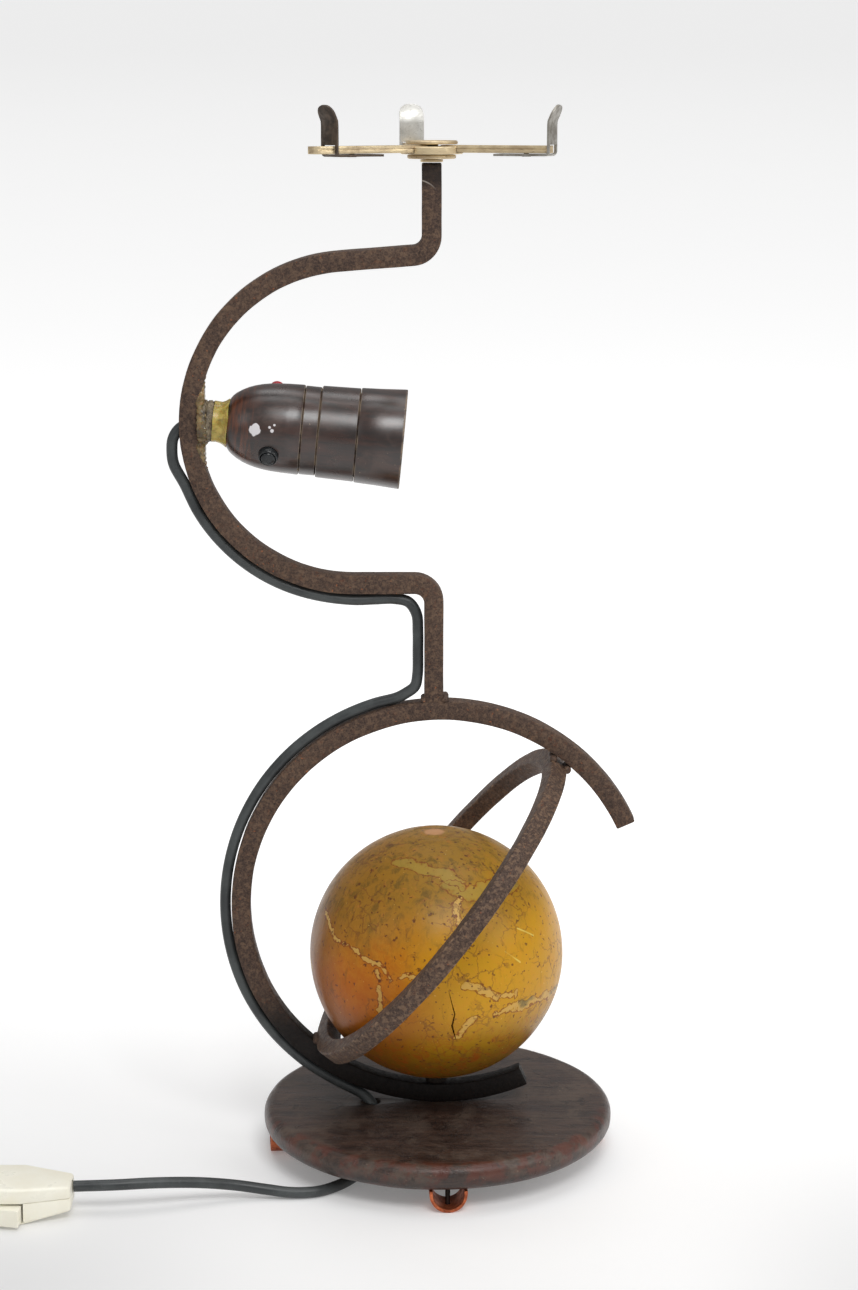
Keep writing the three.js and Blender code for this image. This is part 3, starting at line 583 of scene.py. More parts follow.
def modify(obj, kind, **settings):
    """Adds one modifier and applies it."""
    close_edit()
    modifier = obj.modifiers.new(kind.title(), kind)
    for name, value in settings.items():
        setattr(modifier, name, value)
    only(obj)
    bpy.ops.object.modifier_apply(modifier=modifier.name)


def soften(obj, width, segments=2, angle=32):
    """Rounds the corners that are sharper than the angle."""
    modify(
        obj, "BEVEL",
        width=width * MM, segments=segments, limit_method="ANGLE", angle_limit=math.radians(angle),
    )


def dent(obj, depth, size):
    """Lets the surface wander in and out, as hand work does."""
    lumps = bpy.data.textures.new(obj.name + "_lumps", "CLOUDS")
    lumps.noise_scale = size * MM
    modify(obj, "DISPLACE", texture=lumps, texture_coords="LOCAL", strength=depth * MM, mid_level=0.5)


def hollow(obj, *tools):
    """Cuts each tool out of the piece."""
    close_edit()
    for tool in tools:
        modify(obj, "BOOLEAN", operation="DIFFERENCE", solver="EXACT", object=tool)
        bpy.data.objects.remove(tool)


def put(obj, place):
    """Moves a piece that was made at the origin to its place, and keeps its object at the origin."""
    close_edit()
    obj.matrix_world = place
    only(obj)
    bpy.ops.object.transform_apply()
    return obj


def done(obj, material, nodes=(), body="root", angle=35):
    """Ends a piece: smooth shading, its finish, its body and the nodes it stands for."""
    close_edit()
    only(obj)
    bpy.ops.object.shade_smooth_by_angle(angle=math.radians(angle))
    obj.data.materials.clear()
    obj.data.materials.append(material)
    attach(obj, body)
    if nodes:
        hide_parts(*nodes)
    return obj


def turned(name, profile, segments=72):
    """A piece turned on the z axis: a circle drawn out ring by ring along [radius, height] pairs."""
    solid = profile[0][0] == 0
    ring = profile[0] == profile[-1]
    steps = [(r * MM, z * MM) for r, z in profile if r > 0]
    radius, height = steps[0]
    fill = "NGON" if solid else "NOTHING"
    circle = bpy.ops.mesh.primitive_circle_add
    obj = start(name, circle, vertices=segments, radius=radius, location=(0, 0, height), fill_type=fill)
    for next_radius, next_height in steps[1:]:
        bpy.ops.mesh.extrude_region_move(TRANSFORM_OT_translate={"value": (0, 0, next_height - height)})
        grow = next_radius / radius
        bpy.ops.transform.resize(value=(grow, grow, 1), center_override=(0, 0, next_height))
        radius, height = next_radius, next_height
    if ring:
        bpy.ops.mesh.select_all(action="SELECT")
        bpy.ops.mesh.remove_doubles(threshold=0.001 * MM)
    face_out()
    close_edit()
    return obj


def rod(name, radius, low, high, segments=32):
    return turned(name, [(0, low), (radius, low), (radius, high), (0, high)], segments)


def round_off(cx, cy, radius, first, last, count):
    """The points of an arc, for a profile."""
    angles = [math.radians(first + (last - first) * i / count) for i in range(count + 1)]
    return [(cx + radius * math.cos(a), cy + radius * math.sin(a)) for a in angles]


def bar(name, side, first, heading, moves, corner=0.7):
    """A square bar drawn out from its flat end: it moves by (x, z) and bends about (x, z)."""
    plane = bpy.ops.mesh.primitive_plane_add
    tilt = math.radians(90 - heading)
    obj = start(name, plane, size=side * MM, location=at(first[0], 0, first[1]), rotation=(0, tilt, 0))
    bpy.ops.mesh.bevel(offset=corner * MM, affect="VERTICES", segments=2)
    for kind, x, z, amount, steps in moves:
        if kind == "straight":
            for _ in range(steps):
                step = Vector((x, 0, z)) * MM / steps
                bpy.ops.mesh.extrude_region_move(TRANSFORM_OT_translate={"value": step})
        else:
            centre, angle = at(x, 0, z), math.radians(amount)
            bpy.ops.mesh.spin(steps=steps, angle=angle, center=centre, axis=(0, 1, 0))
    face_out()
    close_edit()
    return obj


def balls(name, spots, material, fuse=0.45, depth=0.5, body="root"):
    """Filler or weld laid in drops: (x, y, z, radius) balls fused into one lumpy bead."""
    x, y, z, radius = spots[0]
    ball = bpy.ops.mesh.primitive_ico_sphere_add
    obj = start(name, ball, subdivisions=3, radius=radius * MM, location=at(x, y, z))
    for x, y, z, radius in spots[1:]:
        ball(subdivisions=3, radius=radius * MM, location=at(x, y, z))
    modify(obj, "REMESH", mode="VOXEL", voxel_size=fuse * MM)
    dent(obj, depth, 2.2)
    modify(obj, "SMOOTH", factor=0.5, iterations=3)
    return done(obj, material, body=body, angle=180)


# ---------- cords ----------
def smooth_path(points, per_span=6):
    """A centripetal curve through the points."""
    points = [Vector(p) for p in points]
    ends = [2 * points[0] - points[1], *points, 2 * points[-1] - points[-2]]
    path = []
    for a, b, c, d in zip(ends, ends[1:], ends[2:], ends[3:]):
        t1 = (b - a).length ** 0.5
        t2 = t1 + (c - b).length ** 0.5
        t3 = t2 + (d - c).length ** 0.5
        for step in range(per_span):
            t = t1 + (t2 - t1) * step / per_span
            ab = a.lerp(b, t / t1)
            bc = b.lerp(c, (t - t1) / (t2 - t1))
            cd = c.lerp(d, (t - t2) / (t3 - t2))
            path.append(ab.lerp(bc, t / t2).lerp(bc.lerp(cd, (t - t1) / (t3 - t1)), (t - t1) / (t2 - t1)))
    return [*path, points[-1]]


def cord_curve(name, points):
    """A round lead along the points, as one open spline."""
    data = bpy.data.curves.new(name, "CURVE")
    data.dimensions = "3D"
    data.bevel_depth = CORD / 2 * MM
    data.bevel_resolution = 5
    data.use_fill_caps = True
    spline = data.splines.new("POLY")
    spline.points.add(len(points) - 1)
    for point, place in zip(spline.points, points):
        point.co = (*at(*place), 1)
    spline.use_smooth = True
    data.materials.append(SHEATH)
    obj = bpy.data.objects.new(name, data)
    bpy.context.scene.collection.objects.link(obj)
    return obj


def coil_turns():
    """Two layers of turns, wound inwards below and outwards above, clockwise from above."""
    pitch, start_angle, steps = CORD, 200, 40
    end_turn = 7 + 10 / 360
    points = []
    for i in range(int(end_turn * steps) + 1):
        turn = i / steps
        if turn < 3.75:
            ring = sum(min(max((turn - k - 0.75) / 0.25, 0), 1) for k in range(3))
            radius = COIL["outer_turn"] - pitch * ring
        else:
            ring = sum(min(max((turn - k - 4.25) / 0.25, 0), 1) for k in range(3))
            radius = COIL["inner_turn"] + pitch * ring
        rise = min(max((turn - 3.4) / 0.35, 0), 1)
        rise = rise * rise * (3 - 2 * rise)
        z = COIL["low"] + (COIL["high"] - COIL["low"]) * rise
        angle = math.radians(start_angle - 360 * turn)
        points.append((COIL["x"] + radius * math.cos(angle), COIL["y"] + radius * math.sin(angle), z))
    return points


LEAD_ROUTE = [
    (-28.5, -13.9, 10.5), (-29.1, -19, 6.9), (-30.8, -26, 4.3), (-33.4, -34.4, 2.9), (-37.8, -43.6, 2.6),
    (-44.2, -52.6, 2.6), (-53.4, -59.6, 2.6), (-65, -61.8, 3), (-77, -61.8, 4.6), (-90, -62.9, 7),
    (-106, -67, 10), (-124, -71.8, 12), (-142, -75, 12.4), (-160.2, -75.5, 12),
]
AFTER_SWITCH = [
    (-232.9, -75.5, 12), (-245, -74.8, 9.8), (-257, -71.8, 5.8), (-268, -66.4, 3.2), (-277.5, -58.6, 2.6),
    (-285.4, -49.6, 2.6), (-291.6, -39.4, 2.6), (-296, -29.5, 2.8),
]
TO_PLUG = [(-303, -4, 8.0), (-304, 6.5, 7.3), (-304.8, 14, 6.7), (-305, 22, 6.7), (-305, 29.7, 6.85)]


def path_length(points):
    return sum((Vector(b) - Vector(a)).length for a, b in zip(points, points[1:])) * MM


def free_leads():
    near = smooth_path(LEAD_ROUTE)
    far = smooth_path([*AFTER_SWITCH, *coil_turns(), *TO_PLUG], 2)
    near_lead = cord_curve("switch_lead", near)
    far_lead = cord_curve("plug_lead", far)
    stands_for = (
        (near_lead, ["lead_to_switch"]),
        (far_lead, ["lead_to_coil", "cord_coil", "lead_to_plug"]),
    )
    for lead, nodes in stands_for:
        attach(lead, "root")
        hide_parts(*nodes)
    at(*LEAD_ROUTE[0])
    path_length(near)
    at(*AFTER_SWITCH[0])
    path_length(far)


# ---------- camera, floor and light ----------
def camera():
    data = bpy.data.cameras.new("camera")
    data.lens = 85.9
    data.sensor_width = 36
    data.clip_start, data.clip_end = 0.05, 60
    obj = bpy.data.objects.new("camera", data)
    obj.location = at(-3.95, -1334.35, 563.6)
    obj.rotation_euler = (math.radians(76.31), 0, 0)
    bpy.context.scene.collection.objects.link(obj)
    bpy.context.scene.camera = obj


def area_light(name, place, target, size, power):
    data = bpy.data.lights.new(name, "AREA")
    data.shape = "RECTANGLE"
    data.size, data.size_y = size
    data.energy = power
    obj = bpy.data.objects.new(name, data)
    obj.location = place
    obj.rotation_euler = (Vector(target) - Vector(place)).to_track_quat("-Z", "Y").to_euler()
    bpy.context.scene.collection.objects.link(obj)


def studio():
    """A white paper floor under four soft boxes; the paper glows a little towards the back."""
    floor = flat("studio_floor", 40000, 40000, (0, 12000, 0))
    bpy.ops.mesh.subdivide(number_cuts=8)
    close_edit()
    p = Paint("studio_white")
    tone = p.mix(p.noise(400, 2), (0.86, 0.86, 0.86, 1), (0.88, 0.88, 0.88, 1))
    reach = p.along(p.place, 1)
    # Painted shade: the paper is darker towards the front left and right corners.
    corner = p.between(abs(p.along(p.place, 0) - 30), 60, 210) * p.between(reach, 60, -160)
    tone = p.mix(corner, tone, (0.7, 0.7, 0.7, 1))
    side = abs(p.along(p.place, 0) - 120)
    near_glow = p.between(reach + side * -0.4, -420, 700, 0.06, 0.62)
    far_fade = p.between(reach, 2600, 11000, 0, 0.07)
    glow = p.mix(near_glow - far_fade, (0, 0, 0, 1), (1, 1, 1, 1))
    floor.data.materials.append(p.surface(tone, 0.75, Emission_Color=glow, Emission_Strength=1.0))
    world = bpy.data.worlds.new("studio_light")
    bpy.context.scene.world = world
    world.use_nodes = True
    world.node_tree.nodes["Background"].inputs["Color"].default_value = (1, 1, 1, 1)
    world.node_tree.nodes["Background"].inputs["Strength"].default_value = 0.33
    area_light("soft_box_top", (0.1, 0.35, 1.9), (0, 0, 0.1), (1.5, 1.2), 11)
    area_light("soft_box_front", (0.35, -1.5, 1.9), (0, 0, 0.25), (1.1, 0.8), 22)
    area_light("soft_box_right", (1.6, -0.7, 1.0), (0, 0, 0.2), (0.8, 1.0), 7)
    area_light("soft_box_left", (-1.3, -0.9, 1.0), (-0.1, 0, 0.2), (0.6, 0.8), 1.6)
    bpy.context.scene.view_settings.view_transform = "Standard"


# ---------- ironwork ----------
def hoop():
    first = (
        HOOP["x"] + (HOOP["inner"] + BAR / 2) * math.cos(math.radians(HOOP["start"])),
        HOOP["z"] + (HOOP["inner"] + BAR / 2) * math.sin(math.radians(HOOP["start"])),
    )
    turn = HOOP["end"] - HOOP["start"]
    obj = bar("hoop_bar", BAR, first, HOOP["start"] + 90, [("bend", HOOP["x"], HOOP["z"], turn, 170)])
    only(obj)
    bpy.ops.object.mode_set(mode="EDIT")
    centre = Vector((HOOP["x"] + LAMP_X, 0, HOOP["z"]))
    out = Vector((math.cos(math.radians(HOOP["bulge_at"])), 0, math.sin(math.radians(HOOP["bulge_at"]))))
    pick(obj, lambda v: (v - centre).normalized().dot(out) > 0.999)
    bpy.ops.transform.translate(
        value=out * HOOP["bulge"] * MM, use_proportional_edit=True, proportional_edit_falloff="SMOOTH",
        proportional_size=95 * MM,
    )
    close_edit()
    soften(obj, 0.5, 2, 50)
    dent(obj, 0.35, 16)
    done(obj, HOOP_IRON, ["hoop"])


def ring():
    inner, outer, half = RING["outer"] - RING["bar"], RING["outer"], RING["bar"] / 2
    section = [(inner, -half), (outer, -half), (outer, half), (inner, half), (inner, -half)]
    obj = turned("tilted_ring_bar", section, 160)
    soften(obj, 0.8, 3)
    put(obj, stand(RING["x"], 0, RING["z"]) @ Matrix.Rotation(-math.radians(RING["tilt"]), 4, "Y"))
    dent(obj, 0.35, 14)
    done(obj, RING_IRON, ["tilted_ring"])


def stem():
    low = HOOP["z"] + HOOP["inner"] + BAR + GAP
    bend, rise, c = STEM["bend"], math.radians(CRESCENT["rise"]), CRESCENT
    leave_x = c["x"] - c["radius"] * math.sin(rise)
    leave_z = c["z"] + c["radius"] * math.cos(rise)
    bend_x = STEM["top"] - bend
    touch_x = bend_x + bend * math.sin(rise)
    touch_z = leave_z + (touch_x - leave_x) * math.tan(rise)
    bend_z = touch_z + bend * math.cos(rise)
    moves = [
        ("straight", 0, STEM["low_z"] - bend - low + 1, 0, 12),
        ("bend", STEM["foot"] - bend, STEM["low_z"] - bend, 90, 10),
        ("straight", c["x"] - STEM["foot"] + bend, 0, 0, 8),
        ("bend", c["x"], c["z"], -180 + c["rise"], 70),
        ("straight", touch_x - leave_x, touch_z - leave_z, 0, 8),
        ("bend", bend_x, bend_z, 90 - c["rise"], 10),
        ("straight", 0, STEM["top_z"] - bend_z, 0, 14),
    ]
    obj = bar("stem_bar", BAR, (STEM["foot"], low - 1), 90, moves)
    soften(obj, 0.5, 2, 50)
    dent(obj, 0.35, 15)
    done(obj, STEM_IRON, ["stem"])


def welds():
    """Fillets of weld metal where the bars meet."""
    top = HOOP["z"] + HOOP["inner"] + BAR
    side = BAR / 2
    stem_beads = [
        (STEM["foot"] + side + 0.6, y, top + 0.9, 1.9) for y in (-3.4, -1.7, 0, 1.7, 3.4)
    ] + [(STEM["foot"] - side - 0.2, y, top + 0.4, 1.5) for y in (-3.4, -1.7, 0, 1.7, 3.4)]
    balls("weld_stem", stem_beads, IRON)
    middle = RING["outer"] - 1.5
    ring_welds = (("weld_ring_high", RING["tilt"], 3.2), ("weld_ring_low", RING["tilt"] + 180, 2.6))
    for name, turn, reach in ring_welds:
        a = math.radians(turn)
        out, across = Vector((math.cos(a), 0, math.sin(a))), Vector((-math.sin(a), 0, math.cos(a)))
        beads = []
        for y in (-3.6, -1.8, 0, 1.8, 3.6):
            for away in (-side + 0.3, side - 0.3):
                spot = Vector((RING["x"], y, RING["z"])) + out * (middle + 1.5) + across * away
                beads.append((*spot, reach * 0.62))
        balls(name, beads, IRON)


CABLE_ROUTE_HOLDER = [(-108.4, 338.9), (-113.4, 336.3), (-116.2, 332.2), (-116.9, 327), (-116.2, 320.5)]


def frame_cable():
    """The lead from the lampholder, round the outside of the iron and down into the foot."""
    out = CORD / 2 + BAR / 2 + GAP
    low, left = STEM["low_z"] - out, STEM["foot"] - out
    droop = math.radians(HOLDER["droop"])

    def inside(s):
        return (HOLDER["x"] + s * math.cos(droop), 0, HOLDER["z"] - s * math.sin(droop))

    def round_bar(circle, radius, angles):
        spots = [math.radians(a) for a in angles]
        return [(circle["x"] + radius * math.cos(a), 0, circle["z"] + radius * math.sin(a)) for a in spots]

    def hoop_radius(angle):
        off = (angle - HOOP["bulge_at"]) / 34
        return HOOP["inner"] + BAR / 2 + HOOP["bulge"] * math.exp(-off * off) + out + 0.1

    points = [inside(5), inside(-4), inside(-11)]
    points += [(x, 0, z) for x, z in CABLE_ROUTE_HOLDER]
    points += round_bar(CRESCENT, CRESCENT["radius"] + out + 0.1, range(200, 261, 10))
    points += [(-37, 0, low - 0.5), (-28, 0, low - 0.2), (-19.5, 0, low), (-13, 0, low - 1.6)]
    points += [(left - 0.6, 0, low - 7), (left, 0, low - 15), (left, 0, 236), (left - 0.2, 0, 225)]
    points += [(left - 1.4, 0, 219.6), (left - 5.4, 0, 216.4)]
    for angle in (102, 108, 116, 125, 135, 146, 158, 170, 182, 194, 206, 218, 230, 240):
        points += round_bar(HOOP, hoop_radius(angle), [angle])
    points += [(-38, -0.3, 27.1), (-33.8, -1.2, 24.8), (-30.4, -3.4, 21.6), (-28.8, -6.6, 17.4)]
    points += [(-28.3, -10.2, 13.8), (-28.4, -13.3, 11)]
    cable = cord_curve("lead_along_iron", smooth_path(points))
    only(cable)
    bpy.ops.object.convert(target="MESH")
    modify(cable, "WELD", merge_threshold=0.01 * MM)
    done(cable, SHEATH, ["frame_cable"])


# ---------- foot and globe ----------
def foot_disc():
    edge, radius = DISC["edge"], DISC["radius"]
    profile = [(0, DISC["low"]), (40, DISC["low"])]
    profile += round_off(radius - edge, DISC["low"] + edge, edge, 270, 360, 6)
    profile += round_off(radius - edge, DISC["top"] - edge, edge, 0, 90, 7)
    profile += [(reach, DISC["top"]) for reach in (60, 45, 30, 15, 0)]
    obj = turned("foot_disc", profile, 128)
    put(obj, stand())
    dent(obj, 0.4, 22)
    hole = rod("cable_hole", 3.3, -4, 14, 24)
    lean = Vector((0.9, -8.2, -9.5)).to_track_quat("Z", "Y").to_matrix().to_4x4()
    put(hole, Matrix.Translation(at(-29.4, -3.6, 21)) @ lean)
    done(obj, WOOD, ["base_disc"])
    hollow(obj, hole)
    bolt_hole = rod("bolt_hole", 5, 8, 15.5, 24)
    put(bolt_hole, stand(GLOBE["x"]))
    hollow(obj, bolt_hole)


def feet():
    """Each foot is a strip of copper curled up into a half-round trough."""
    radius, wall, length = FOOT["radius"], FOOT["wall"], FOOT["length"]
    rim = 10.2
    for number, turn in enumerate(FOOT["angles"], 1):
        middle = (FOOT["reach"] - length / 2, wall / 2 - radius, rim)
        obj = flat(f"copper_foot_{number}", length, wall, middle)
        bpy.ops.mesh.extrude_region_move(TRANSFORM_OT_translate={"value": (0, 0, (radius - rim) * MM)})
        bpy.ops.mesh.spin(steps=24, angle=math.radians(-180), center=(0, 0, radius * MM), axis=(1, 0, 0))
        bpy.ops.mesh.extrude_region_move(TRANSFORM_OT_translate={"value": (0, 0, (rim - radius) * MM)})
        face_out()
        soften(obj, 0.35, 2, 40)
        modify(obj, "SUBSURF", levels=1, render_levels=1)
        head_pocket = rod("head_pocket", NAIL["head"] + GAP, -1, NAIL["low"] + NAIL["head_height"] + GAP)
        shank_hole = rod("shank_hole", NAIL["shank"] + GAP, -1, wall + 2, 20)
        for hole in (head_pocket, shank_hole):
            put(hole, Matrix.Translation(((FOOT["reach"] - NAIL["inset"]) * MM, 0, 0)))
        hollow(obj, head_pocket, shank_hole)
        put(obj, stand(turn=turn))
        dent(obj, 0.35, 6)
        done(obj, COPPER, [f"foot_{number}"])


def globe():
    sphere = bpy.ops.mesh.primitive_uv_sphere_add
    obj = start("globe_ball", sphere, segments=128, ring_count=96, radius=GLOBE["radius"] * MM)
    pick(obj, lambda v: v.z > 56.6)
    bpy.ops.transform.resize(value=(1, 1, 0.992), center_override=(0, 0, 0))
    close_edit()
    dent(obj, 0.3, 24)
    split = flat("split", 0.12, 9, (5.2, -57, 2))
    split_steps = (
        (1.2, 0, -5, 3), (1.6, 0.5, -6.5, 1.6), (-1.2, 1, -6, 1.5), (0.8, 1, -3.5, 0.7), (1, 2, -4, 0.3),
    )
    for dx, dy, dz, grow in split_steps:
        step = Vector((dx, dy, dz)) * MM
        bpy.ops.mesh.extrude_region_move(TRANSFORM_OT_translate={"value": step})
        bpy.ops.transform.resize(value=(grow, 1, 1))
    face_out()
    hollow(obj, split, rod("bolt_hole", 2.3, -60, -31, 24))
    put(obj, stand(GLOBE["x"], 0, GLOBE["z"]))
    done(obj, GLOBE_COAT, ["globe"], "globe")
    spacer = turned("globe_spacer_ring", [(2.3, 31.8), (5, 31.8), (5, 36.6), (2.3, 36.6), (2.3, 31.8)], 48)
    soften(spacer, 0.4)
    put(spacer, stand(GLOBE["x"]))
    # The spacer's finish is painted shade: it is near black because it lies in the globe's shadow.
    done(spacer, SHADED_BRASS, ["globe_spacer"])


# ---------- lampholder ----------
def holder_shell():
    cap = [
        (5.1, 0), (10.9, 0), (12.4, 1.1), (13.7, 2.6), (15.2, 4.9), (16.5, 7.5), (17.5, 10.2),
        (18.3, 13.2), (18.9, 16.5), (19.3, 20), (19.6, 25), (19.8, 31.6), (19.5, 32.1), (17.3, 32.1),
        (17.3, 14), (14.6, 8), (11, 4.2), (5.1, 3), (5.1, 0),
    ]
    obj = turned("lampholder_cap", cap, 96)
    put(obj, HOLDER_PLACE)
    hollow(
        obj,
        put(rod("push_hole", PUSH["radius"] + GAP, -30, 30), PUSH_PLACE),
        put(rod("collar_hole", 4.4, 17, 30), PUSH_PLACE),
    )
    soften(obj, 0.25, 2, 50)
    done(obj, BAKELITE, ["holder_cap"])

    shells = {
        "lampholder_mantle": (
            "holder_mantle",
            [(15.6, 24), (16.8, 24), (16.8, 32.4), (19.2, 32.4), (19.5, 32.8), (19.45, 39.1), (19.1, 39.5),
             (18.4, 39.5), (18.4, 74), (15.6, 74), (15.6, 24)],
        ),
        "lampholder_ring_rear": (
            "shade_ring_rear",
            [(18.7, 39.7), (19.8, 39.7), (20.15, 40.1), (20.55, 56.1), (20.25, 56.5), (18.7, 56.5),
             (18.7, 39.7)],
        ),
        "lampholder_ring_front": (
            "shade_ring_front",
            [(18.7, 56.7), (20.5, 56.7), (20.8, 57.1), (21.2, 66), (21.9, 76.4), (21.7, 76.9), (20.5, 76.9),
             (19.6, 74.3), (18.7, 73), (18.7, 56.7)],
        ),
    }
    for name, (node, profile) in shells.items():
        shell = turned(name, profile, 96)
        soften(shell, 0.18, 2, 40)
        put(shell, HOLDER_PLACE)
        done(shell, BAKELITE, [node])


def holder_inside():
    """The thread that takes the bulb's screw cap, its ceramic seat and the centre contact."""
    pitch, turns, wall = 3.6, 6, 0.5
    circle = bpy.ops.mesh.primitive_circle_add
    obj = start("screw_shell", circle, vertices=3, radius=0.1 * MM, location=Vector((13.9, 0, 36)) * MM)
    bpy.ops.mesh.merge(type="CENTER")
    profile = [(13.9 - 0.45 * (1 - math.cos(math.tau * i / 8)), 36 + pitch * i / 8) for i in range(9)]
    for (r, z), (next_r, next_z) in zip(profile, profile[1:]):
        step = Vector((next_r - r, 0, next_z - z)) * MM
        bpy.ops.mesh.extrude_vertices_move(TRANSFORM_OT_translate={"value": step})
    modify(
        obj, "SCREW", angle=math.tau, screw_offset=pitch * MM, iterations=turns, steps=56, render_steps=56,
        use_merge_vertices=True, merge_threshold=0.01 * MM, use_normal_calculate=True,
    )
    modify(obj, "SOLIDIFY", thickness=wall * MM, offset=0)
    only(obj)
    bpy.ops.object.mode_set(mode="EDIT")
    face_out()
    put(obj, HOLDER_PLACE)
    done(obj, BRIGHT_BRASS, ["thread_shell"])

    seat_profile = [
        (0, 26), (15, 26), (15.2, 26.4), (15.2, 33.4), (14.6, 34), (4.9, 34), (4.5, 33.5), (4.5, 33), (0, 33),
    ]
    seat = turned("ceramic_seat", seat_profile)
    soften(seat, 0.3)
    put(seat, HOLDER_PLACE)
    done(seat, CERAMIC, ["ceramic_insert"])
    tongue = [(0, 33.3), (3.6, 33.3), (3.6, 34.2), (2.6, 34.8), (1.9, 36.2), (1.2, 36.6), (0, 36.6)]
    contact = turned("sprung_contact", tongue, 40)
    soften(contact, 0.2)
    put(contact, HOLDER_PLACE)
    done(contact, BRIGHT_BRASS, ["centre_contact"])


def holder_neck():
    """Filler and set resin between the bar and the lampholder."""
    neck = [
        (3.6, -11.5), (9.1, -11.5), (9.3, -10.4), (8.5, -10), (9.2, -9.4), (9.3, -8), (8.7, -7.4), (9, -7),
        (3.6, -7),
    ]
    putty = turned("neck_putty", [*neck, neck[0]], 64)
    put(putty, HOLDER_PLACE)
    dent(putty, 0.9, 2.5)
    done(putty, PUTTY, ["neck_bush"])
    collar = [
        (5.1, -6.8), (9.1, -6.8), (8.9, -5), (9.1, -3.4), (9.7, -1.9), (10.7, -0.5), (10.6, -0.2),
        (5.1, -0.2),
    ]
    resin = turned("resin_neck", [*collar, collar[0]], 64)
    put(resin, HOLDER_PLACE)
    dent(resin, 0.8, 4)
    done(resin, RESIN, ["resin_collar"])

    # The filler swells round the neck where it meets the bar, and runs a little way along it.
    bar_face = CRESCENT["radius"] - BAR / 2
    bead = []
    for angle in range(0, 360, 20):
        y, up = 7.6 * math.sin(math.radians(angle)), 7.8 * math.cos(math.radians(angle))
        bead.append((-103.7, y, HOLDER["z"] + up, 1.9))
        bead.append((-101.9, y * 1.1, HOLDER["z"] + up * 1.08, 1.3))
    for side in (-1, 1):
        for turn, radius in ((8.2, 2.2), (10, 1.9), (11.8, 1.5), (13.6, 1.1), (15.4, 0.8), (17.4, 0.6)):
            a = math.radians(turn)
            x = CRESCENT["x"] - bar_face * math.cos(a)
            up = side * bar_face * math.sin(a)
            bead += [(x, y, CRESCENT["z"] + up, radius) for y in (-3.2, -1, 1, 3.2)]
    balls("neck_filler", bead, RESIN_DARK, fuse=0.5, depth=0.5)


def push_switch():
    inner = PUSH["radius"] + 0.25
    collar = [(inner, 17.6), (4.2, 17.6), (4.2, 21.3), (3.9, 21.8), (inner, 21.8), (inner, 17.6)]
    obj = turned("push_collar", collar, 56)
    soften(obj, 0.2)
    put(obj, PUSH_PLACE)
    done(obj, BLACK_BAKELITE, ["push_bush"])
    r = PUSH["radius"]
    knobs = (
        ("push_knob_black", BLACK_BAKELITE, "black_bakelite", "push_button_black", 12.3, 22.5, 1),
        ("push_knob_red", RED, "red_plastic", "push_button_red", 10.3, 28.9, -1),
    )
    for name, material, slot, node, near, far, side in knobs:
        profile = [
            (0, near), (r, near), (r, far - 0.9), (r - 0.25, far - 0.35), (r - 0.8, far), (1.4, far + 0.12),
            (0, far + 0.12),
        ]
        knob = turned(name, profile, 48)
        soften(knob, 0.15)
        flip = Matrix.Rotation(math.radians(0 if side > 0 else 180), 4, "X")
        put(knob, PUSH_PLACE @ flip)
        done(knob, material, [node], "push_bar")


# ---------- gallery ----------
def gallery_hub():
    place = hub_place()
    bore = 2.9
    stack = (
        ("hub_washer", "gallery_washer", "root",
         [(bore, 451.9), (4.9, 451.9), (4.9, 453), (bore, 453), (bore, 451.9)]),
        ("hub_disc_low", "hub_lower_disc", "gallery",
         [(bore, 453.3), (10, 453.3), (10.5, 453.7), (10.5, 454.7), (10.2, 455), (bore, 455), (bore, 453.3)]),
        ("hub_disc_wide", "hub_plate", "gallery",
         [(bore, 455.3), (13.1, 455.3), (13.5, 455.7), (13.5, 458.2), (13.1, 458.6), (bore, 458.6),
          (bore, 455.3)]),
        ("hub_disc_top", "hub_cap", "gallery",
         [(0, 459.5), (11, 459.5), (11.3, 459.9), (11.2, 460.6), (10.7, 461.1), (3.4, 461.1), (3.2, 460.9),
          (0, 460.9)]),
    )
    for name, node, body, profile in stack:
        obj = turned(name, profile, 80)
        if node == "hub_plate":
            seats = []
            for number, turn in enumerate(GALLERY["angles"]):
                seat = block(f"seat_{number}", (15.1, ARM["width"] + 2 * GAP, 6.3), (12.45, 0, 458.85))
                put(seat, Matrix.Rotation(math.radians(turn), 4, "Z"))
                seats.append(seat)
            hollow(obj, *seats)
        soften(obj, 0.2, 2, 40)
        put(obj, place)
        done(obj, BRASS, [node], body)


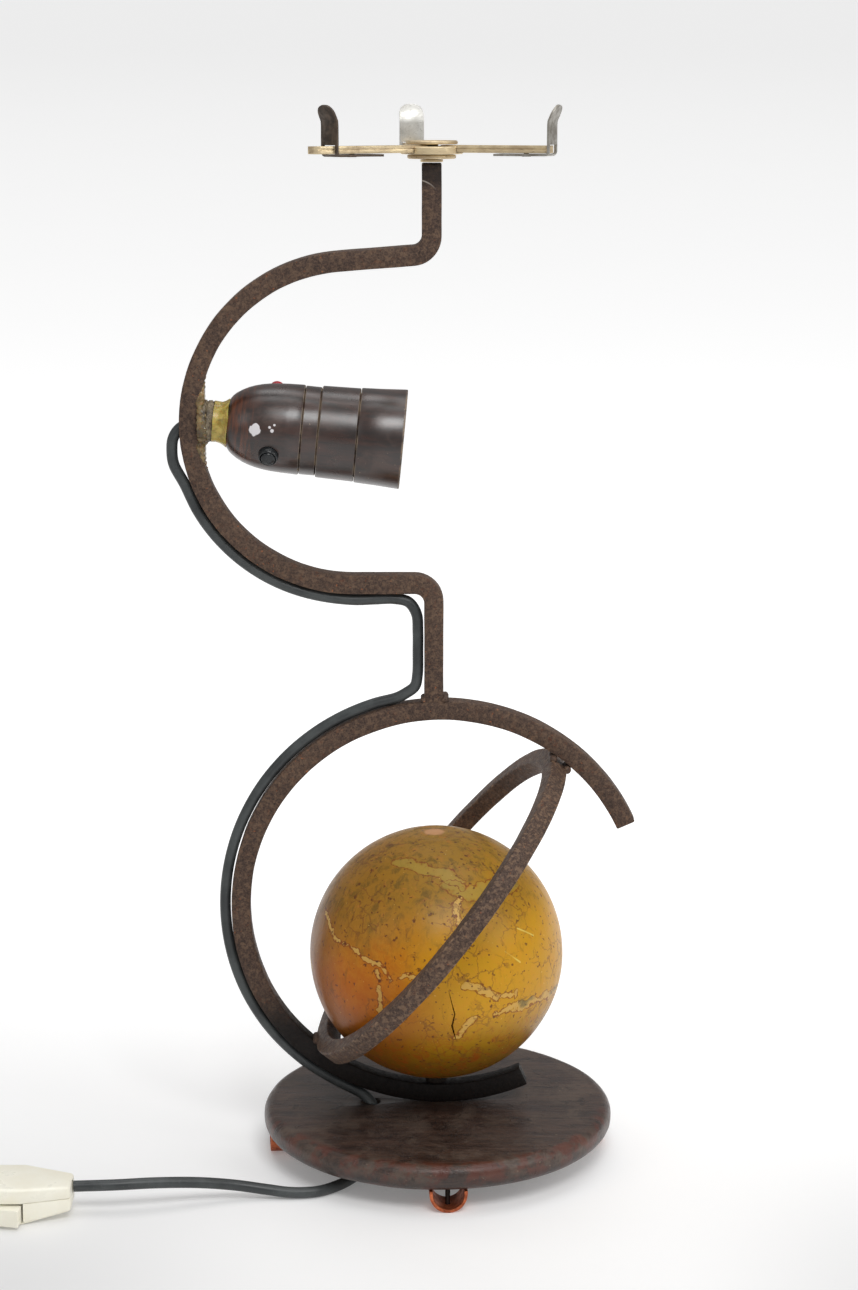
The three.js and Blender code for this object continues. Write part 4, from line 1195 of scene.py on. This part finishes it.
def gallery_arms():
    """A folded strip with a long slot below, in which the clip's rivet slides."""
    low, width, height = ARM["low"], ARM["width"], ARM["height"]
    rows = zip(GALLERY["angles"], GALLERY["arms"], GALLERY["clips"])
    for number, (turn, reach, clip) in enumerate(rows, 1):
        place = hub_place(turn)
        first, middle = 5.5, low + height / 2
        size = (reach - first, width, height)
        arm = block(f"arm_strip_{number}", size, ((reach + first) / 2, 0, middle))
        pick(arm, lambda m, end=reach: m.x > end - 0.1 and abs(m.y) > 1, "EDGE")
        bpy.ops.mesh.bevel(offset=2.6 * MM, segments=6, affect="EDGES")
        inside = block("inside", (reach - 22, width - 1.6, 1.6), ((reach + 18) / 2, 0, middle))
        slot = block("slot", (reach - 22, 3, 2.4), ((reach + 14) / 2, 0, low))
        seams = [
            block("seam", (reach, 0.9, 0.45), (reach / 2 + 8, y, low + 1.75)) for y in (-width / 2, width / 2)
        ]
        hollow(arm, inside, slot, *seams)
        soften(arm, 0.55, 3, 40)
        put(arm, place)
        done(arm, BRASS, [f"gallery_arm_{number}"], "gallery")

        clip_strip(number, clip, place)
        profile = [
            (0, 454.5), (2, 454.5), (2.1, 454.7), (1.1, 454.8), (1.1, 457.1), (2.4, 457.1), (2.4, 457.6),
            (1.9, 457.9), (0, 457.9),
        ]
        rivet = turned(f"rivet_{number}", profile, 32)
        put(rivet, place @ Matrix.Translation(((clip - CLIP_RIVET_INSET) * MM, 0, 0)))
        done(rivet, STEEL, [f"clip_rivet_{number}"], f"clip_{number}")


def clip_strip(number, reach, place):
    """A strip bent up at a right angle; its rounded top leans outwards."""
    gauge, width, half = CLIP["gauge"], CLIP["width"], CLIP["gauge"] / 2
    low = ARM["low"] - GAP - gauge
    knee = low + CLIP["height"] - CLIP["lean_height"]
    lean = math.radians(CLIP["lean"])
    x, z = reach - CLIP["leg"], low + half
    path = [(x, z), (reach - 14, z), (reach - half - 1.6, z)]
    path += round_off(reach - half - 1.6, z + 1.6, 1.6, -90, 0, 5)[1:]
    path += [(reach - half, low + 8), (reach - half, knee - 1.2)]
    top = CLIP["lean_height"] - 0.4
    path += [(reach - half + 0.15, knee + 0.6), (reach - half + top * math.tan(lean), knee + top)]
    obj = flat(f"clip_strip_{number}", width, width, (x, 0, z))
    bpy.ops.mesh.delete(type="ONLY_FACE")
    pick(obj, lambda v, edge=x: v.x < edge)
    bpy.ops.mesh.delete(type="VERT")
    bpy.ops.mesh.select_all(action="SELECT")
    bpy.ops.transform.translate(value=(-width / 2 * MM, 0, 0))
    for (x0, z0), (x1, z1) in zip(path, path[1:]):
        step = Vector((x1 - x0, 0, z1 - z0)) * MM
        bpy.ops.mesh.extrude_region_move(TRANSFORM_OT_translate={"value": step})
    pick(obj, lambda v: v.z > low + CLIP["height"] - 1.5)
    bpy.ops.mesh.bevel(offset=4.6 * MM, segments=8, affect="VERTICES")
    modify(obj, "SOLIDIFY", thickness=gauge * 0.96 * MM, offset=0)
    window_size = (6, ARM["width"] + 2 * GAP, ARM["height"] + 0.6)
    window = block("window", window_size, (reach - 0.5, 0, ARM["low"] + ARM["height"] / 2 + 0.1))
    rivet_place = Matrix.Translation(((reach - CLIP_RIVET_INSET) * MM, 0, 0))
    rivet_hole = put(rod("rivet_hole", 1.4, low - 1, low + gauge + 1, 20), rivet_place)
    hollow(obj, window, rivet_hole)
    soften(obj, 0.22, 2, 40)
    put(obj, place)
    dent(obj, 0.2, 9)
    done(obj, CLIP_STEEL[number - 1], [f"shade_clip_{number}"], f"clip_{number}")


# ---------- inline switch ----------
def switch_blank(name):
    """The switch's outer form: a block whose two ends taper to blunt noses."""
    half, wide = SWITCH["length"] / 2, SWITCH["length"] / 2 - 22
    obj = block(name, (SWITCH["length"], SWITCH["width"], SWITCH["height"]), (0, 0, SWITCH["height"] / 2))
    for cut_at in (-wide, wide):
        bpy.ops.mesh.select_all(action="SELECT")
        bpy.ops.mesh.bisect(plane_co=(cut_at * MM, 0, 0), plane_no=(1, 0, 0))
    for end in (-half, half):
        pick(obj, lambda v, e=end: abs(v.x - e) < 0.1)
        bpy.ops.transform.resize(value=(1, 16 / SWITCH["width"], 1), center_override=(end * MM, 0, 0))
        pick(obj, lambda v, e=end: abs(v.x - e) < 0.1 and v.z < 1)
        bpy.ops.transform.translate(value=(0, 0, 4 * MM))
        pick(obj, lambda v, e=end: abs(v.x - e) < 0.1 and v.z > 10)
        bpy.ops.transform.translate(value=(0, 0, (15.5 - SWITCH["height"]) * MM))
    close_edit()
    soften(obj, 1.6, 4, 20)
    return obj


def inline_switch():
    place = stand(SWITCH["x"], SWITCH["y"])
    near = -SWITCH["width"] / 2
    for name, node, low, high in (
        ("switch_body_low", "switch_lower_shell", -5, SWITCH["split"] - 0.25),
        ("switch_body_high", "switch_upper_shell", SWITCH["split"], 30),
    ):
        shell = switch_blank(name)
        only(shell)
        bpy.ops.object.mode_set(mode="EDIT")
        for plane_z, inner in ((low, True), (high, False)):
            bpy.ops.mesh.select_all(action="SELECT")
            if 0 < plane_z < SWITCH["height"]:
                bpy.ops.mesh.bisect(plane_co=(0, 0, plane_z * MM), plane_no=(0, 0, 1), use_fill=True,
                                    clear_inner=inner, clear_outer=not inner)
        close_edit()
        bore = rod("bore", 2.75, -40, 40, 32)
        put(bore, Matrix.Translation(Vector((0, 1.2, 12)) * MM) @ Matrix.Rotation(math.radians(90), 4, "Y"))
        hollow(shell, bore)
        if node == "switch_lower_shell":
            pocket = block("pocket", (31.6, 11.5, 9.2), (0, near + 0.75, 5.8))
            holes = [
                put(rod("screw_hole", 2.9, -2, 2.6, 24), Matrix.Translation(Vector((x, 7, 0)) * MM))
                for x in (-19, 19)
            ]
            hollow(shell, pocket, *holes)
        soften(shell, 0.2, 2, 50)
        put(shell, place)
        done(shell, CREAM, [node])

    key = block("switch_key", (30, 6.5, 7.8), (0, -1.25, 5.5))
    bpy.ops.mesh.bisect(plane_co=(0, 0, 0), plane_no=(1, 0, 0))
    pick(key, lambda v: abs(v.x) < 0.1 and v.y < -4)
    bpy.ops.transform.translate(value=(0, 1.1 * MM, 0))
    hollow(key, rod("pin_hole", 1.4, 0, 12, 24))
    soften(key, 0.9, 3, 25)
    tilt = Matrix.Rotation(math.radians(-8.5), 4, "Z")
    put(key, place @ Matrix.Translation(Vector((0, near + 1, 0)) * MM) @ tilt)
    done(key, CREAM, ["switch_rocker"], "rocker")


# ---------- plug and the coil's tie ----------
def plug():
    length, width, height = PLUG["length"], PLUG["width"], PLUG["height"]
    obj = block("plug_shell", (length, width, height), (length / 2, 0, height / 2))
    for cut_at in (8, 24):
        bpy.ops.mesh.select_all(action="SELECT")
        bpy.ops.mesh.bisect(plane_co=(cut_at * MM, 0, 0), plane_no=(1, 0, 0))
    for place_x, wide, thick in ((0, 10.5, 9.5), (8, 13.5, 12)):
        pick(obj, lambda v, x=place_x: abs(v.x - x) < 0.1)
        middle = (0, 0, height / 2 * MM)
        bpy.ops.transform.resize(value=(1, wide / width, thick / height), center_override=middle)
    pick(obj, lambda m: m.x > length - 0.1 and abs(m.y) > width / 2 - 0.1, "EDGE")
    bpy.ops.mesh.bevel(offset=4 * MM, segments=5, affect="EDGES")
    close_edit()
    soften(obj, 1.6, 4, 20)
    put(obj, stand(PLUG["x"], PLUG["y"], turn=90))
    done(obj, CREAM, ["plug_body"])


def coil_tie():
    """A narrow strap round all the turns at one place."""
    inner, outer, low, high, wall = 17.0, 38.0, 0.25, 10.9, 0.4
    corner = 2
    obj = flat("coil_tie", wall, 5, ((inner + outer) / 2, 0, low), upright=True)
    half, rise = (outer - inner) / 2 - corner, high - low - 2 * corner
    extrude = bpy.ops.mesh.extrude_region_move

    def go(x, z):
        extrude(TRANSFORM_OT_translate={"value": Vector((x, 0, z)) * MM})

    def bend(x, z):
        bpy.ops.mesh.spin(steps=5, angle=math.radians(90), center=Vector((x, 0, z)) * MM, axis=(0, 1, 0))

    go(half, 0)
    bend(outer - corner, low + corner)
    go(0, rise)
    bend(outer - corner, high - corner)
    go(-2 * half, 0)
    bend(inner + corner, high - corner)
    go(0, -rise)
    bend(inner + corner, low + corner)
    go(half, 0)
    bpy.ops.mesh.select_all(action="SELECT")
    bpy.ops.mesh.remove_doubles(threshold=0.01 * MM)
    bpy.ops.mesh.select_all(action="DESELECT")
    bpy.ops.mesh.select_interior_faces()
    bpy.ops.mesh.delete(type="ONLY_FACE")
    face_out()
    close_edit()
    soften(obj, 0.12, 1, 40)
    put(obj, stand(COIL["x"], COIL["y"], turn=-20))
    done(obj, BLACK_BAKELITE)


# ---------- the nodes that stay as they are ----------
KEPT_NODES = {
    "nails": (DARK_STEEL, ["foot_nail_1", "foot_nail_2", "foot_nail_3", "foot_nail_4", "centre_bolt"]),
    "steel": (STEEL, ["switch_screw_1", "switch_screw_2", "rocker_pin"]),
    "brass": (BRIGHT_BRASS, ["nipple", "terminal_screw_1", "terminal_screw_2", "push_rod", "switch_bridge",
                             "gallery_stud", "plug_pin_1", "plug_pin_2"]),
}


def kept_nodes():
    for material, names in KEPT_NODES.values():
        for name in names:
            for material_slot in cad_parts[name].material_slots:
                material_slot.material = material


camera()
inline_switch()
plug()
coil_tie()
free_leads()
hoop()
ring()
stem()
welds()
frame_cable()
foot_disc()
feet()
globe()
holder_shell()
holder_inside()
holder_neck()
push_switch()
gallery_hub()
gallery_arms()
kept_nodes()
studio()
